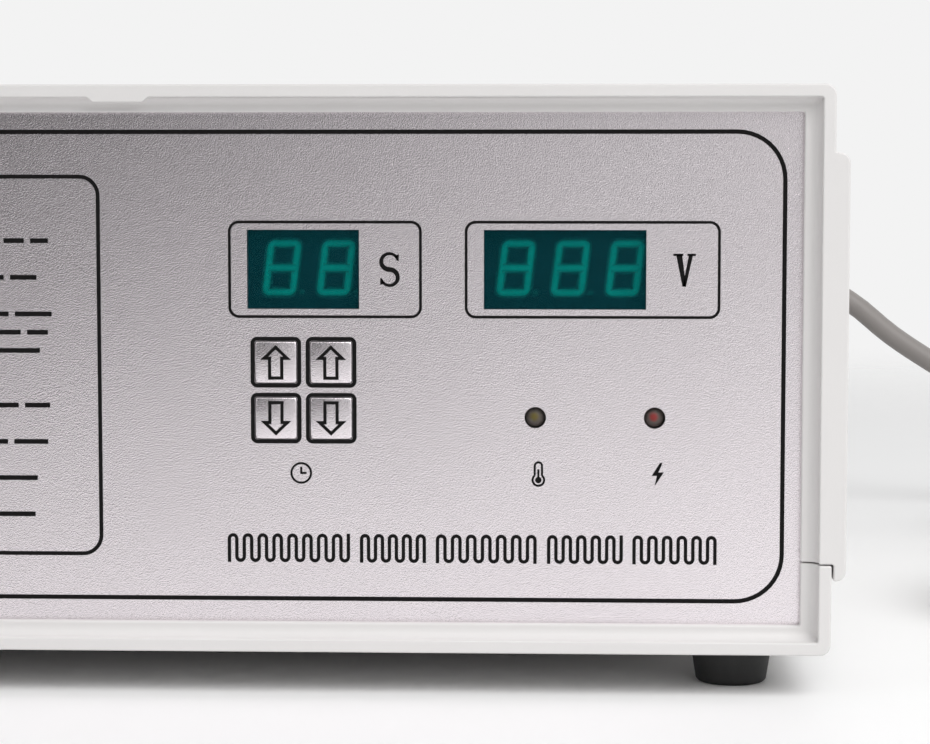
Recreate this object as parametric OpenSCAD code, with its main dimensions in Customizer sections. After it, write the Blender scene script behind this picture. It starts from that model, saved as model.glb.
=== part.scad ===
// Bench-top induction cap sealer: a control case with a recessed front panel,
// and a hand-held sealing head on its own cord.
// The origin is the centre of the four feet on the bench, the front faces -Y and +Z is up.

/* [Case] */
// Width of the case between the outer faces of its side walls
body_w = 329; // [312:1:350]
// Depth of the case from its front rim to its rear rim
body_d = 270; // [260:1:300]
// Height of the case without its feet
body_h = 131.5; // [126:0.5:146]
// Wall of the cover and the tray
wall = 3; // [2.4:0.1:3.4]
// Radius of the four long edges of the case
edge_r = 2.6; // [1.5:0.1:5]
// Height of the seam above the underside of the tray
seam_h = 21; // [18:0.5:26]
// Gap that shows between the cover and the tray
seam_gap = 0.3; // [0.2:0.05:0.5]

/* [Side bands] */
// How far a side band stands out from the side wall
band_out = 3.3; // [3:0.1:6]
// Distance from the top of the case down to a band
band_drop = 15.6; // [10:0.1:25]
// How far a band hangs down over the tray
band_lap = 3.6; // [2:0.1:8]
// Gap between the hanging band and the tray
lap_gap = 0.4; // [0.2:0.1:0.8]
// Radius of the outer edges of a band
band_r = 2.4; // [1:0.1:2.8]
// Number of air slots in each band
slot_count = 12; // [6:1:14]
// Width of an air slot
slot_w = 3; // [2:0.1:3.8]
// Height of an air slot
slot_len = 44; // [30:1:55]
// Pitch of the air slots
slot_pitch = 8; // [6:0.5:9]
// Distance from the rear rim to the last air slot
slot_end = 50; // [45:1:60]

/* [Panel slots] */
// Depth of the ledge behind the rim
ledge_recess = 4; // [3:0.1:6]
// How far the ledge stands in from a side wall
ledge_w = 3.8; // [2.4:0.1:4.4]
// How far the ledge stands in from the top and the floor
ledge_h = 3.3; // [2.4:0.1:3.6]
// Radius of the cove between a rim and its ledge
cove_r = 2.6; // [1:0.1:3.6]
// Thickness of the ledge
ledge_t = 2.4; // [1.8:0.1:3]
// Thickness of the rib behind a plate
rib_t = 2; // [1.5:0.1:2.5]
// Thickness of the front plate and the rear plate
plate_t = 2; // [1.5:0.1:2.5]
// Thickness of the film on the front plate
film_t = 0.5; // [0.3:0.05:0.8]
// Play of a plate in its slot
plate_play = 0.2; // [0.1:0.05:0.3]
// Play between a plate's edge and the wall
plate_side_play = 0.3; // [0.2:0.05:0.5]
// Width of the moulded lug under the top rim
lug_w = 14; // [8:0.5:20]
// Height of the moulded lug
lug_h = 1.2; // [0.8:0.1:2]
// Depth of the moulded lug
lug_d = 1.6; // [1:0.1:2.5]

/* [Feet and case screws] */
// Height of a foot
foot_h = 10.4; // [7:0.1:14]
// Diameter of a foot where it meets the tray
foot_top_d = 20; // [16:0.5:24]
// Diameter of a foot on the bench
foot_tip_d = 17; // [13:0.5:22]
// Radius of a foot's lower edge
foot_edge_r = 1.2; // [0.5:0.1:2]
// Distance from a side wall to the centre of a foot
foot_in_x = 21.5; // [18:0.5:24]
// Distance from the front rim or the rear rim to the centre of a foot
foot_in_y = 24; // [22:0.5:36]
// Diameter of the screw columns above the feet
column_d = 10; // [9:0.5:12]
// Diameter of a case screw
screw_d = 3.9; // [3.4:0.1:4.2]
// Diameter of a case screw's head
screw_head_d = 7.4; // [6.6:0.1:8]
// Height of a case screw's head
screw_head_h = 2.6; // [2:0.1:3]
// How far a case screw goes into the cover
screw_grip = 22; // [16:1:30]
// Thickness of rubber above a case screw's head
foot_seat = 5; // [4:0.1:6]
// Clearance of a screw in the hole that it bites into
bite_gap = 0.1; // [0.06:0.02:0.2]
// Clearance of a screw in the hole that it passes through
pass_gap = 0.5; // [0.3:0.1:0.8]

/* [Front print] */
// Distance from the panel's side edge to the outer frame line
frame_in = 4.2; // [3:0.1:7]
// Distance from the panel's top or bottom edge to the outer frame line
frame_in_z = 4.9; // [3:0.1:7]
// How far the outer frame line and the instruction box sit above the panel's middle
print_rise = 0.4; // [0:0.1:1]
// Width of the outer frame line
frame_line = 1; // [0.6:0.1:1.6]
// Corner radius of the outer frame line
frame_r = 11; // [6:0.5:16]
// Distance from the outer frame line to the instruction box
text_in = 14.7; // [8:0.1:20]
// Distance from the instruction box to the time display's frame
text_gap = 30.7; // [24:0.1:36]
// Height of the instruction box
text_h = 88.4; // [70:0.1:95]
// Width of the instruction box's line
text_line = 0.9; // [0.5:0.05:1.2]
// Corner radius of the instruction box
text_r = 4.4; // [2:0.1:8]
// Width of the line round a display
display_line = 0.65; // [0.3:0.05:0.8]
// Corner radius of the line round a display
display_r = 2.2; // [1:0.1:4]
// Width of the line round a key
key_line = 0.9; // [0.4:0.1:1]
// Corner radius of the line round a key
key_line_r = 1.1; // [0.6:0.1:3]
// Thickness of the printed lines
ink_t = 0.1; // [0.06:0.02:0.2]

/* [Displays] */
// Distance from the panel's right edge to the voltage display's frame
group_margin = 19.2; // [14:0.1:26]
// Height of the displays above the middle of the panel
display_z = 23.1; // [20:0.1:26]
// Width of the frame round the time display
time_frame_w = 44.5; // [40:0.1:50]
// Width of the frame round the voltage display
volt_frame_w = 58.5; // [54:0.1:64]
// Height of the frames round the displays
frame_h = 22; // [20.5:0.1:25]
// Gap between the two display frames
frame_gap = 10.6; // [6:0.1:16]
// Width of the time window
time_window_w = 26.1; // [25:0.1:28]
// Width of the voltage window
volt_window_w = 37.6; // [36:0.1:42]
// Height of both windows
window_h = 18.4; // [17:0.1:19.4]
// Distance from a frame's left line to its window
window_in = 4.1; // [2:0.1:6]
// Clearance round a window
window_gap = 0.1; // [0.05:0.05:0.2]
// Depth of a display module
display_t = 8; // [7:0.1:10]
// How far a display module overlaps the plate above and below its window
display_lap = 0.4; // [0.2:0.1:0.6]

/* [Keys and lamps] */
// Width of a key's cap
key_size = 9.7; // [8.5:0.1:10.5]
// Corner radius of a key's cap
key_r = 0.6; // [0.4:0.1:2]
// Clearance round a key's cap
key_gap = 0.15; // [0.1:0.05:0.3]
// Distance between two keys side by side
key_pitch_x = 12.9; // [12.4:0.1:15]
// Distance between the upper and the lower keys
key_pitch_z = 13.1; // [12.4:0.1:15]
// Height of the four keys' middle from the panel's middle
key_z = -5.1; // [-8:0.1:-3]
// How far a key stands proud of the film
key_proud = 0.6; // [0.5:0.05:1]
// Radius of a key's domed top
key_dome = 44; // [28:1:80]
// Thickness of the flange behind a key
key_flange_t = 0.8; // [0.6:0.1:1]
// How far a key's flange reaches past its cap
key_flange_w = 0.7; // [0.4:0.1:0.8]
// Diameter of a key's stem
key_stem_d = 3.4; // [2.6:0.1:4]
// How far a key's stem reaches into its switch
key_stem_in = 1.2; // [0.8:0.1:1.5]
// Clearance of a stem in its switch
stem_gap = 0.1; // [0.05:0.05:0.2]
// Width of a key switch
tact_w = 6.2; // [5.5:0.1:7]
// Height of a key switch
tact_h = 3.5; // [3:0.1:4]
// Diameter of a lamp
lamp_d = 4.8; // [3:0.1:6]
// Length of a lamp's body
lamp_len = 8.6; // [7:0.1:9]
// How far a lamp's flange reaches past its body
lamp_flange = 0.4; // [0.3:0.1:0.6]
// Thickness of a lamp's flange
lamp_flange_t = 1; // [0.8:0.1:1.4]
// How far a lamp lies behind the film's face
lamp_sunk = 0.4; // [0.2:0.05:1]
// Clearance round a lamp
lamp_gap = 0.1; // [0.05:0.05:0.2]
// Distance between the two lamps
lamp_pitch = 27.7; // [20:0.1:34]
// How far the lamps' middle lies to the right of the display's middle
lamp_shift = 0.7; // [0:0.1:2]
// Height of the lamps from the panel's middle
lamp_z = -11.3; // [-16:0.1:-5]

/* [Circuit boards] */
// Thickness of a circuit board
board_t = 1.6; // [1.2:0.1:2]
// How far the control board reaches past its parts
board_margin = 6; // [5:0.5:9]
// Distance from a board's edge to its screws
board_screw_in = 5; // [4.5:0.5:7]
// Diameter of a control board spacer
spacer_d = 6; // [5.5:0.1:7]
// Diameter of a board screw
board_screw_d = 2.9; // [2.5:0.1:3.2]
// Diameter of a board screw's head
board_head_d = 5.4; // [4.8:0.1:5.8]
// Height of a board screw's head
board_head_h = 2; // [1.6:0.1:2.4]
// How far a board screw goes into its spacer or boss
board_screw_grip = 5; // [4:0.5:6]

/* [Rear panel] */
// Distance from the panel's left edge to the fan
fan_margin = 31.5; // [24:0.5:40]
// Width of the fan
fan_w = 80; // [78:0.5:84]
// Depth of the fan
fan_d = 25; // [20:1:28]
// Bore of the fan
fan_bore = 76; // [72:0.5:76.5]
// Distance between the fan's screws
fan_hole_pitch = 71.5; // [70:0.1:73]
// Diameter of the fan's hub
fan_hub_d = 33; // [28:0.5:38]
// Number of fan blades
blade_count = 7; // [5:1:9]
// Thickness of a fan blade
blade_t = 1.8; // [1.2:0.1:2.4]
// Slant of a fan blade in degrees
blade_slant = 40; // [30:1:50]
// Gap between the blades and the bore
blade_gap = 1.2; // [0.8:0.1:2]
// Diameter of the fan's shaft
shaft_d = 3; // [2.5:0.1:4]
// Running clearance of the fan's shaft
shaft_gap = 0.1; // [0.05:0.05:0.2]
// Thickness of the arms that carry the fan's motor
motor_t = 4; // [3:0.1:5]
// Thickness of the fan guard
guard_t = 1.6; // [1.2:0.1:2.2]
// Width of a guard ring
guard_ring_w = 2; // [1.5:0.1:2.4]
// Number of guard rings
guard_rings = 5; // [4:1:6]
// Length of a fan screw's thread
fan_screw_len = 16; // [12:1:22]
// Distance from the fan to the inlet's flange
inlet_gap = 42; // [36:1:50]
// Width of the inlet's flange
inlet_w = 50; // [48:0.5:52]
// Height of the inlet's flange
inlet_h = 27; // [25:0.5:30]
// Distance between the inlet's screws
inlet_pitch = 40; // [39:0.1:41]
// Depth of the inlet's body behind the plate
inlet_deep = 24; // [22:0.5:26]
// Height of the inlet below the panel's middle
inlet_drop = 22; // [18:0.5:28]
// Height of the power switch above the panel's middle
switch_rise = 22; // [16:0.5:30]
// Width of the power switch's flange
switch_w = 15; // [14.5:0.1:17]
// Height of the power switch's flange
switch_h = 21; // [20.5:0.1:24]
// Tilt of the rocker from its middle, in degrees
rocker_tilt = 9; // [6:0.5:10]
// Clearance between the rocker and its frame
rocker_gap = 0.3; // [0.2:0.05:0.5]
// Diameter of the rocker's pivot
pivot_d = 3; // [2.4:0.1:3.4]
// Distance from the inlet's flange to the fuse holder
fuse_gap = 18; // [12:0.5:24]
// Diameter of the fuse holder's flange
fuse_flange_d = 17; // [15:0.5:20]
// Diameter of the fuse holder's body
fuse_body_d = 12.5; // [12:0.1:14]
// Diameter of the fuse cap's shank
fuse_shank_d = 10; // [9:0.1:10.4]
// Running clearance of the fuse cap
fuse_cap_gap = 0.1; // [0.05:0.05:0.2]
// Diameter of the fuse
fuse_d = 5.2; // [4.8:0.1:6.4]
// Length of the fuse
fuse_len = 20; // [18:0.5:22]

/* [Power stage] */
// Height of the bosses under the power board
boss_h = 8; // [6:0.5:12]
// Diameter of the bosses under the power board
boss_d = 7.5; // [7:0.5:9]
// Width of the power board
power_w = 190; // [186:1:196]
// Length of the power board
power_l = 140; // [138:1:146]
// Distance from the middle of the fan to the left edge of the power board
power_left = 29; // [29:0.5:33]
// Width of the heat sink
sink_w = 56; // [54:0.5:58]
// Length of the heat sink
sink_l = 110; // [104:1:114]
// Height of the heat sink
sink_h = 46; // [36:1:60]
// Thickness of the heat sink's base and of its mounting wall
sink_base = 6; // [4:0.5:8]
// Thickness of a heat sink fin
fin_t = 1.8; // [1.2:0.1:2.4]
// Number of heat sink fins
fin_count = 8; // [5:1:10]
// Diameter of a storage capacitor
cap_d = 30; // [25:0.5:32]
// Height of a storage capacitor
cap_h = 40; // [30:1:55]
// Height of a resonance capacitor
film_cap_h = 37; // [25:1:45]
// Outer diameter of the filter choke
choke_d = 40; // [32:0.5:42]
// Height of the filter choke
choke_h = 16; // [12:0.5:20]
// Width of the transformer's core
core_w = 57; // [50:0.5:60]
// Thickness of the transformer's core
core_d = 26; // [20:0.5:32]

/* [Sealing head] */
// Diameter of the head's round housing
head_d = 112; // [104:1:124]
// Height of the head's round housing
head_h = 30; // [29:0.5:36]
// Wall of the head's housing
head_wall = 3; // [2.6:0.1:3.4]
// Radius of the housing's upper edge
head_edge_r = 7; // [4:0.5:7.5]
// Distance from the housing's rim to the bench
head_rim = 1; // [0.5:0.1:2]
// Thickness of the sealing face
face_t = 4; // [3:0.1:5]
// Play round the sealing face
face_play = 0.2; // [0.1:0.05:0.4]
// Thickness of the lip that the sealing face seats on
lip_t = 2; // [1.5:0.1:2.4]
// Width of the lip that the sealing face seats on
lip_w = 4; // [3:0.1:5]
// Distance from the head's middle to the end of its grip
grip_l = 160; // [152:1:175]
// Diameter of the grip
grip_d = 30; // [29:0.5:34]
// Height of the grip's middle above the bench
grip_z = 22; // [21:0.5:24]
// Radius of the grip's rounded end
grip_end_r = 4; // [2:0.5:6]
// Diameter of the coil's wire
wire_d = 4.3; // [3.6:0.1:4.8]
// Number of turns in the coil
turn_count = 8; // [5:1:8]
// Pitch of the coil's turns
turn_pitch = 4.2; // [3.4:0.1:4.2]
// Radius of the coil's first turn
turn_start = 16; // [12:0.5:16]
// Number of ferrite bars over the coil
bar_count = 6; // [4:1:8]
// Width of a ferrite bar
bar_w = 10; // [6:0.5:11]
// Thickness of a ferrite bar
bar_t = 5; // [3:0.5:6]
// Distance from the head's middle to the button
button_y = 76; // [72:1:80]
// Diameter of the button
button_d = 14.6; // [12:0.1:15]
// How far the button stands proud of the grip
button_proud = 3.6; // [3:0.1:5]
// Clearance round the button
button_gap = 0.2; // [0.1:0.05:0.4]
// Distance from the head's middle to the first grip screw
grip_screw_y = 102; // [98:1:108]
// Distance between the two grip screws
grip_screw_pitch = 42; // [30:1:44]

/* [Cord] */
// Diameter of the head's cord
cord_d = 7.5; // [6:0.1:8]
// Distance from the panel's right edge to the cord boot
boot_in = 32.7; // [26:0.1:45]
// Height of the cord boot above the panel's middle
boot_rise = 15; // [8:0.5:26]
// Length of a cord boot outside its housing
boot_l = 30.4; // [24:0.1:40]
// Diameter of a cord boot at its root
boot_root_d = 15; // [13:0.1:18]
// Diameter of a cord boot at its tip
boot_tip_d = 9.6; // [9:0.1:12]
// Diameter of a cord boot's neck in its hole
boot_neck_d = 12; // [10:0.1:13]
// Number of rings round a cord boot
boot_rings = 5; // [3:1:6]

/* [Hidden] */
$fn = 64;
eps = 0.01;
// How far a cut runs past the face that it opens
past = 1;
// How far a screw's bore goes past its tip
bore_spare = 2;

// Main planes of the case
front_y = -body_d / 2;
rear_y = body_d / 2;
seam_z = foot_h + seam_h;
top_z = foot_h + body_h;
mid_z = foot_h + body_h / 2;
floor_z = foot_h + wall;
opening_w = body_w - 2 * (wall + ledge_w);
opening_h = body_h - 2 * (wall + ledge_h);
ledge = [ledge_w, ledge_h];
cove = min(cove_r, ledge_w, ledge_h, ledge_recess);
plate_w = body_w - 2 * (wall + plate_side_play);
plate_h = body_h - 2 * (wall + plate_side_play);

// Planes of the front panel, from the film's face to the control board
film_y = front_y + ledge_recess + ledge_t;
plate_y = film_y + film_t;
plate_back = plate_y + plate_t;
board_y = plate_back + display_t;

// Planes of the rear panel
rear_out = rear_y - ledge_recess - ledge_t;
rear_in = rear_out - plate_t;

// Foot and column centres
foot_x = body_w / 2 - foot_in_x;
foot_y = body_d / 2 - foot_in_y;
corners = [[-1, -1], [1, -1], [-1, 1], [1, 1]];

// Front layout, measured from the middle of the panel
group_right = opening_w / 2 - group_margin;
volt_x = group_right - volt_frame_w / 2;
time_left = group_right - volt_frame_w - frame_gap - time_frame_w;
time_x = time_left + time_frame_w / 2;
time_window_x = time_left + window_in + time_window_w / 2;
volt_window_x = group_right - volt_frame_w + window_in + volt_window_w / 2;
key_hole = key_size + 2 * key_gap;
ink_gap = 0.03;
key_line_w = key_hole + 2 * ink_gap + key_line;
key_lift = 0.1;
tact_floor = 0.6;
key_back = plate_back + key_lift;
lamp_hole = lamp_d + 2 * lamp_gap;
text_right = time_left - text_gap;
text_left = -opening_w / 2 + frame_in + text_in;

// Control board outline and screws
board_left = time_left - board_margin;
board_right = volt_window_x + volt_window_w / 2 + 2 * board_margin;
board_top = display_z + frame_h / 2 + board_margin;
board_low = min(key_z - key_pitch_z / 2 - key_size / 2, lamp_z - lamp_d / 2) - 2 * board_margin;
board_screw_x = [board_left + board_screw_in, board_right - board_screw_in];
board_screw_z = [board_low + board_screw_in, board_top - board_screw_in];

// Rear panel layout
fan_x = -opening_w / 2 + fan_margin + fan_w / 2;
inlet_x = fan_x + fan_w / 2 + inlet_gap + inlet_w / 2;
inlet_z = mid_z - inlet_drop;
switch_z = mid_z + switch_rise;
fuse_x = inlet_x + inlet_w / 2 + fuse_gap;
boot_x = opening_w / 2 - boot_in;
boot_z = mid_z + boot_rise;
fan_screw_d = 3.9;
fan_screw_head_d = 6.8;
fan_screw_head_h = 2.4;
inlet_body_w = 27;
inlet_body_h = 19.8;
inlet_screw_d = 3;
inlet_screw_head_d = 5.6;
inlet_screw_head_h = 2;
inlet_flange_t = 3;
inlet_r = 4;
pocket_w = 24.4;
pocket_h = 16.6;
pocket_deep = 13;
pin_w = 2;
pin_h = 4;
pin_places = [[-7, 1], [7, 1], [0, -3]];
switch_body_w = switch_w - 2;
switch_body_h = switch_h - 2;
switch_wall = 0.8;
switch_floor = 2;
switch_r = 1.2;
switch_flange_t = 2;
switch_deep = 14;
rocker_depth = 2;
pivot_gap = 0.1;
rocker_w = switch_body_w - 2 * switch_wall - 2 * rocker_gap;
rocker_swing = 1.1;
rocker_half = switch_body_h / 2 - switch_wall - rocker_gap - rocker_swing;
fuse_flange_t = 3;
fuse_cap_in = 3;
fuse_cap_lift = 0.2;
fuse_end_gap = 0.3;
fuse_side_gap = 0.2;

// Power stage layout
board_z = floor_z + boss_h;
board_face = board_z + board_t;
sink_x = fan_x;
power_x = sink_x - power_left + power_w / 2;
power_y = 10;
sink_off = 2;
sink_y = power_y - sink_off;
sink_right = sink_x + sink_w / 2;
power_screw_in = 5;
power_screws = [for (c = corners) [power_x + c[0] * (power_w / 2 - power_screw_in),
                                   power_y + c[1] * (power_l / 2 - power_screw_in)]];
transistor = [5, 15.9, 20.8];
package_gap = 1;
transistor_count = 4;
leg_h = 5;
leg_w = 1.2;
rectifier = [4.6, 30, 20];
transistor_pitch = (sink_l - rectifier[1] - 2 * package_gap) / transistor_count;
cap_room = 15;
cap_gap = 7;
cap_off = 16;
cap_x = sink_right + cap_room + cap_d / 2;
cap_pitch = cap_d + cap_gap;
vent_w = 0.6;
film_cap = [42, 20];
film_cap_room = 12;
film_cap_in = 18;
film_cap_gap = 5;
film_cap_x = cap_x + cap_d / 2 + film_cap_room + film_cap[0] / 2;
choke_in = 12;
choke_r = 3;
core_gap = 5;
core_x = sink_x;
core_h = core_w * 5 / 6;
core_leg = core_w / 3;
core_window_w = core_w / 6;
core_window_h = core_w / 2;
winding_gap = 0.2;
winding_r = 4;
winding_d = core_d + 2 * core_window_w;
core_y = power_y - power_l / 2 - core_gap - winding_d / 2;

// Sealing head layout
head_x = 271;
head_y = -25;
head_r = head_d / 2;
head_in_r = head_r - head_wall;
grip_r = grip_d / 2;
grip_in_r = grip_r - head_wall;
coil_gap = 0.05;
bar_gap = 0.1;
coil_z = face_t + wire_d / 2 + coil_gap;
bar_z = coil_z + wire_d / 2 + bar_gap;
turn_end = turn_start + (turn_count - 1) * turn_pitch + wire_d / 2;
trigger_w = 6;
trigger_l = 20;
trigger_gap = 0.3;
trigger_rise = 1;
trigger_low = grip_z - sqrt(grip_in_r * grip_in_r - trigger_w * trigger_w / 4) + trigger_gap;
trigger_top = grip_z + trigger_rise;
button_lap = 1.2;
button_lift = 0.2;
button_flange_r = button_d / 2 + button_lap;
button_flange_z = grip_z + sqrt(grip_in_r * grip_in_r - button_flange_r * button_flange_r) - button_lift;
button_flange_t = 1.5;
button_stem_d = 3.4;
button_stem_in = 1.5;
grip_screw_d = 2.9;
grip_screw_head_d = 5.6;
grip_screw_head_h = 2;
grip_boss_r = 3.6;
grip_seat = 9;
grip_bite = 8;
grip_seat_z = grip_z - grip_seat;
grip_screws = [grip_screw_y, grip_screw_y + grip_screw_pitch];

// Cord routes: from the rear boot down to the coil, and from the coil to the head
coil_at = [318, 244.5];
coil_r = 38;
coil_wide = 25.5;
coil_high = 15;
lead_route = [[125, 159, boot_z], [125, 164, boot_z], [125, 169, boot_z], [128, 181, 91.1],
              [137, 192.5, 90.8], [150, 199.5, 90.2], [166, 201.5, 88.8], [184, 201.5, 85.4],
              [204, 201, 74.8], [219, 201, 62.8], [234, 201, 52.9], [252, 201, 42], [272, 201, 30.2],
              [294, 201, 18.4], [318, 201, 11.2]];
tail_route = [[271, 244.5, 3.75], [271, 236, 3.9], [271, 226, 5.3], [271, 214, 9], [271, 202, 13.8],
              [271, 191, 18.2], [271, 182, 21.2], [271, 175, 22], [271, 170, 22], [271, 165.4, 22]];
tube_sides = 10;
tube_steps = 2;

// Rectangle with round corners, centred
module round_rect(w, h, r) {
    square([w - 2 * r, h], center = true);
    square([w, h - 2 * r], center = true);
    for (c = corners)
        translate([c[0] * (w / 2 - r), c[1] * (h / 2 - r)]) circle(r = r);
}

// Line of a given width along the edge of a round rectangle
module line_frame(w, h, r, line) {
    difference() {
        round_rect(w + line, h + line, r + line / 2);
        round_rect(w - line, h - line, r - line / 2);
    }
}

// Upright slot with round ends
module slot_shape(w, h) {
    square([w, h - w], center = true);
    for (s = [-1, 1]) translate([0, s * (h - w) / 2]) circle(d = w);
}

// Extrudes an outline in X and Z between two depths
module along_y(ya, yb) {
    translate([0, yb, 0]) rotate([90, 0, 0]) linear_extrude(height = yb - ya) children();
}

// Extrudes an outline in Y and Z between two places across the width
module along_x(xa, xb) {
    translate([xa, 0, 0]) rotate([90, 0, 90]) linear_extrude(height = xb - xa) children();
}

// Places a piece on the rear plate: its own +Z points out of the back
module at_rear(x, z) {
    translate([x, rear_out, z]) rotate([-90, 0, 0]) children();
}

// Places a piece in the sealing head
module at_head() {
    translate([head_x, head_y, 0]) children();
}

// Pan head screw that points along +Z, with its head below the origin
module pan_screw(d, head_d, head_h, len) {
    difference() {
        union() {
            translate([0, 0, -head_h]) cylinder(d = head_d, h = head_h);
            cylinder(d = d, h = len);
        }
        for (a = [0, 90])
            rotate(a) translate([-head_d / 4, -head_h / 6, -head_h - past])
                cube([head_d / 2, head_h / 3, past + head_h / 2]);
    }
}

// Points of an arc, in degrees
function arc(cx, cy, r, a0, a1, n = 6) =
    [for (i = [0 : n]) [cx + r * cos(a0 + (a1 - a0) * i / n), cy + r * sin(a0 + (a1 - a0) * i / n)]];

// Cross-section of the case, between its outer face and an inset opening
module case_ring(inset) {
    translate([0, mid_z]) difference() {
        round_rect(body_w, body_h, edge_r);
        square([body_w - 2 * (wall + inset[0]), body_h - 2 * (wall + inset[1])], center = true);
    }
}

// Part of the cross-section above or below the seam
module half_ring(inset, upper) {
    intersection() {
        case_ring(inset);
        translate([-body_w, upper ? seam_z + seam_gap : 0]) square([2 * body_w, upper ? body_h : seam_z]);
    }
}

// Hollow in front of a panel, with a cove all round
module rim_hollow(rim_y) {
    w = body_w - 2 * wall;
    h = body_h - 2 * wall;
    intersection() {
        translate([0, rim_y, 0]) linear_extrude(height = 2 * top_z) round_rect(w, 2 * ledge_recess, cove);
        along_x(-body_w, body_w) translate([rim_y, mid_z]) round_rect(2 * ledge_recess, h, cove);
    }
}

// Walls of one half of the case, with the ledges and ribs that hold the plates
module shell_walls(upper) {
    difference() {
        union() {
            along_y(front_y, rear_y) half_ring([0, 0], upper);
            along_y(front_y, film_y) half_ring(ledge, upper);
            along_y(rear_out, rear_y) half_ring(ledge, upper);
        }
        rim_hollow(front_y);
        rim_hollow(rear_y);
    }
    along_y(plate_back + plate_play, plate_back + plate_play + rib_t) half_ring(ledge, upper);
    along_y(rear_in - plate_play - rib_t, rear_in - plate_play) half_ring(ledge, upper);
}

// Cross-section of the band on one side
module band_section(side) {
    low = seam_z - band_lap;
    high = top_z - band_drop;
    sunk = wall * 0.7;
    translate([side * (body_w / 2 + (band_out - sunk) / 2), (low + high) / 2]) difference() {
        round_rect(band_out + sunk, high - low, band_r);
        translate([-side * (band_out + sunk) / 2, -(high - low) / 2])
            square([2 * (sunk + lap_gap), 2 * (band_lap + seam_gap)], center = true);
    }
}

module top_cover() {
    slot_y = [for (i = [0 : slot_count - 1]) rear_y - slot_end - i * slot_pitch];
    slot_z = (seam_z + top_z - band_drop) / 2;
    color([0.89, 0.87, 0.86]) difference() {
        union() {
            shell_walls(true);
            for (side = [-1, 1]) along_y(front_y, rear_y) band_section(side);
            for (c = corners)
                translate([c[0] * foot_x, c[1] * foot_y, seam_z])
                    cylinder(d = column_d, h = top_z - wall / 2 - seam_z);
            along_y(front_y, front_y + lug_d) translate([0, top_z - wall])
                polygon([[-lug_w / 2, 0], [-lug_w / 2 + lug_h, -lug_h], [lug_w / 2 - lug_h, -lug_h],
                         [lug_w / 2, 0], [lug_w / 2, wall / 2], [-lug_w / 2, wall / 2]]);
        }
        along_x(-body_w, body_w) for (y = slot_y) translate([y, slot_z]) slot_shape(slot_w, slot_len);
        for (c = corners)
            translate([c[0] * foot_x, c[1] * foot_y, seam_z - past])
                cylinder(d = screw_d + bite_gap, h = past + screw_grip + bore_spare);
    }
}

module bottom_tray() {
    color([0.89, 0.87, 0.86]) difference() {
        union() {
            shell_walls(false);
            for (c = corners)
                translate([c[0] * foot_x, c[1] * foot_y, foot_h + wall / 2])
                    cylinder(d = column_d, h = seam_z - foot_h - wall / 2);
            for (p = power_screws)
                translate([p[0], p[1], foot_h + wall / 2])
                    cylinder(d = boss_d, h = board_z - foot_h - wall / 2);
        }
        for (c = corners)
            translate([c[0] * foot_x, c[1] * foot_y, foot_h - past])
                cylinder(d = screw_d + pass_gap, h = seam_h + 2 * past);
        for (p = power_screws)
            translate([p[0], p[1], board_z - board_screw_grip - bore_spare])
                cylinder(d = board_screw_d + bite_gap, h = board_screw_grip + bore_spare + past);
    }
}

module foot(side_x, side_y) {
    hole_r = (screw_d + pass_gap) / 2;
    recess_r = screw_head_d / 2 + pass_gap;
    recess_h = foot_h - foot_seat;
    color([0.12, 0.12, 0.12]) translate([side_x * foot_x, side_y * foot_y, 0])
        rotate_extrude() polygon(concat([[recess_r, 0]],
            arc(foot_tip_d / 2 - foot_edge_r, foot_edge_r, foot_edge_r, -90, 0),
            [[foot_top_d / 2, foot_h], [hole_r, foot_h], [hole_r, recess_h], [recess_r, recess_h]]));
}

module foot_front_left() { foot(-1, -1); }
module foot_front_right() { foot(1, -1); }
module foot_rear_left() { foot(-1, 1); }
module foot_rear_right() { foot(1, 1); }

module case_screws() {
    seat = foot_h - foot_seat;
    color([0.7, 0.7, 0.72]) for (c = corners)
        translate([c[0] * foot_x, c[1] * foot_y, seat])
            pan_screw(screw_d, screw_head_d, screw_head_h, seam_z + screw_grip - seat);
}

// Openings that the film and the front plate share
module front_openings() {
    translate([time_window_x, mid_z + display_z]) square([time_window_w, window_h], center = true);
    translate([volt_window_x, mid_z + display_z]) square([volt_window_w, window_h], center = true);
    for (c = corners) translate(key_place(c[0], c[1])) round_rect(key_hole, key_hole, key_r + key_gap);
    for (side = [-1, 1]) translate([lamp_x(side), mid_z + lamp_z]) circle(d = lamp_hole);
}

// Middle of a lamp in X
function lamp_x(side) = volt_x + lamp_shift + side * lamp_pitch / 2;

// Middle of a key in X and Z
function key_place(side, up) =
    [time_window_x + side * key_pitch_x / 2, mid_z + key_z + up * key_pitch_z / 2];

module front_plate() {
    color([0.75, 0.75, 0.76]) along_y(plate_y, plate_back) difference() {
        translate([0, mid_z]) square([plate_w, plate_h], center = true);
        front_openings();
    }
}

module front_film() {
    film_edge = 1;
    color([0.7, 0.69, 0.7]) along_y(film_y, plate_y) difference() {
        translate([0, mid_z]) square([plate_w - film_edge, plate_h - film_edge], center = true);
        front_openings();
    }
}

module panel_print() {
    color([0.07, 0.06, 0.06]) along_y(film_y - ink_t, film_y) {
        translate([0, mid_z + print_rise])
            line_frame(opening_w - 2 * frame_in, opening_h - 2 * frame_in_z, frame_r, frame_line);
        translate([(text_left + text_right) / 2, mid_z + print_rise])
            line_frame(text_right - text_left, text_h, text_r, text_line);
        translate([time_x, mid_z + display_z]) line_frame(time_frame_w, frame_h, display_r, display_line);
        translate([volt_x, mid_z + display_z]) line_frame(volt_frame_w, frame_h, display_r, display_line);
        for (c = corners) translate(key_place(c[0], c[1]))
            line_frame(key_line_w, key_line_w, key_line_r, key_line);
    }
}

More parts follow.
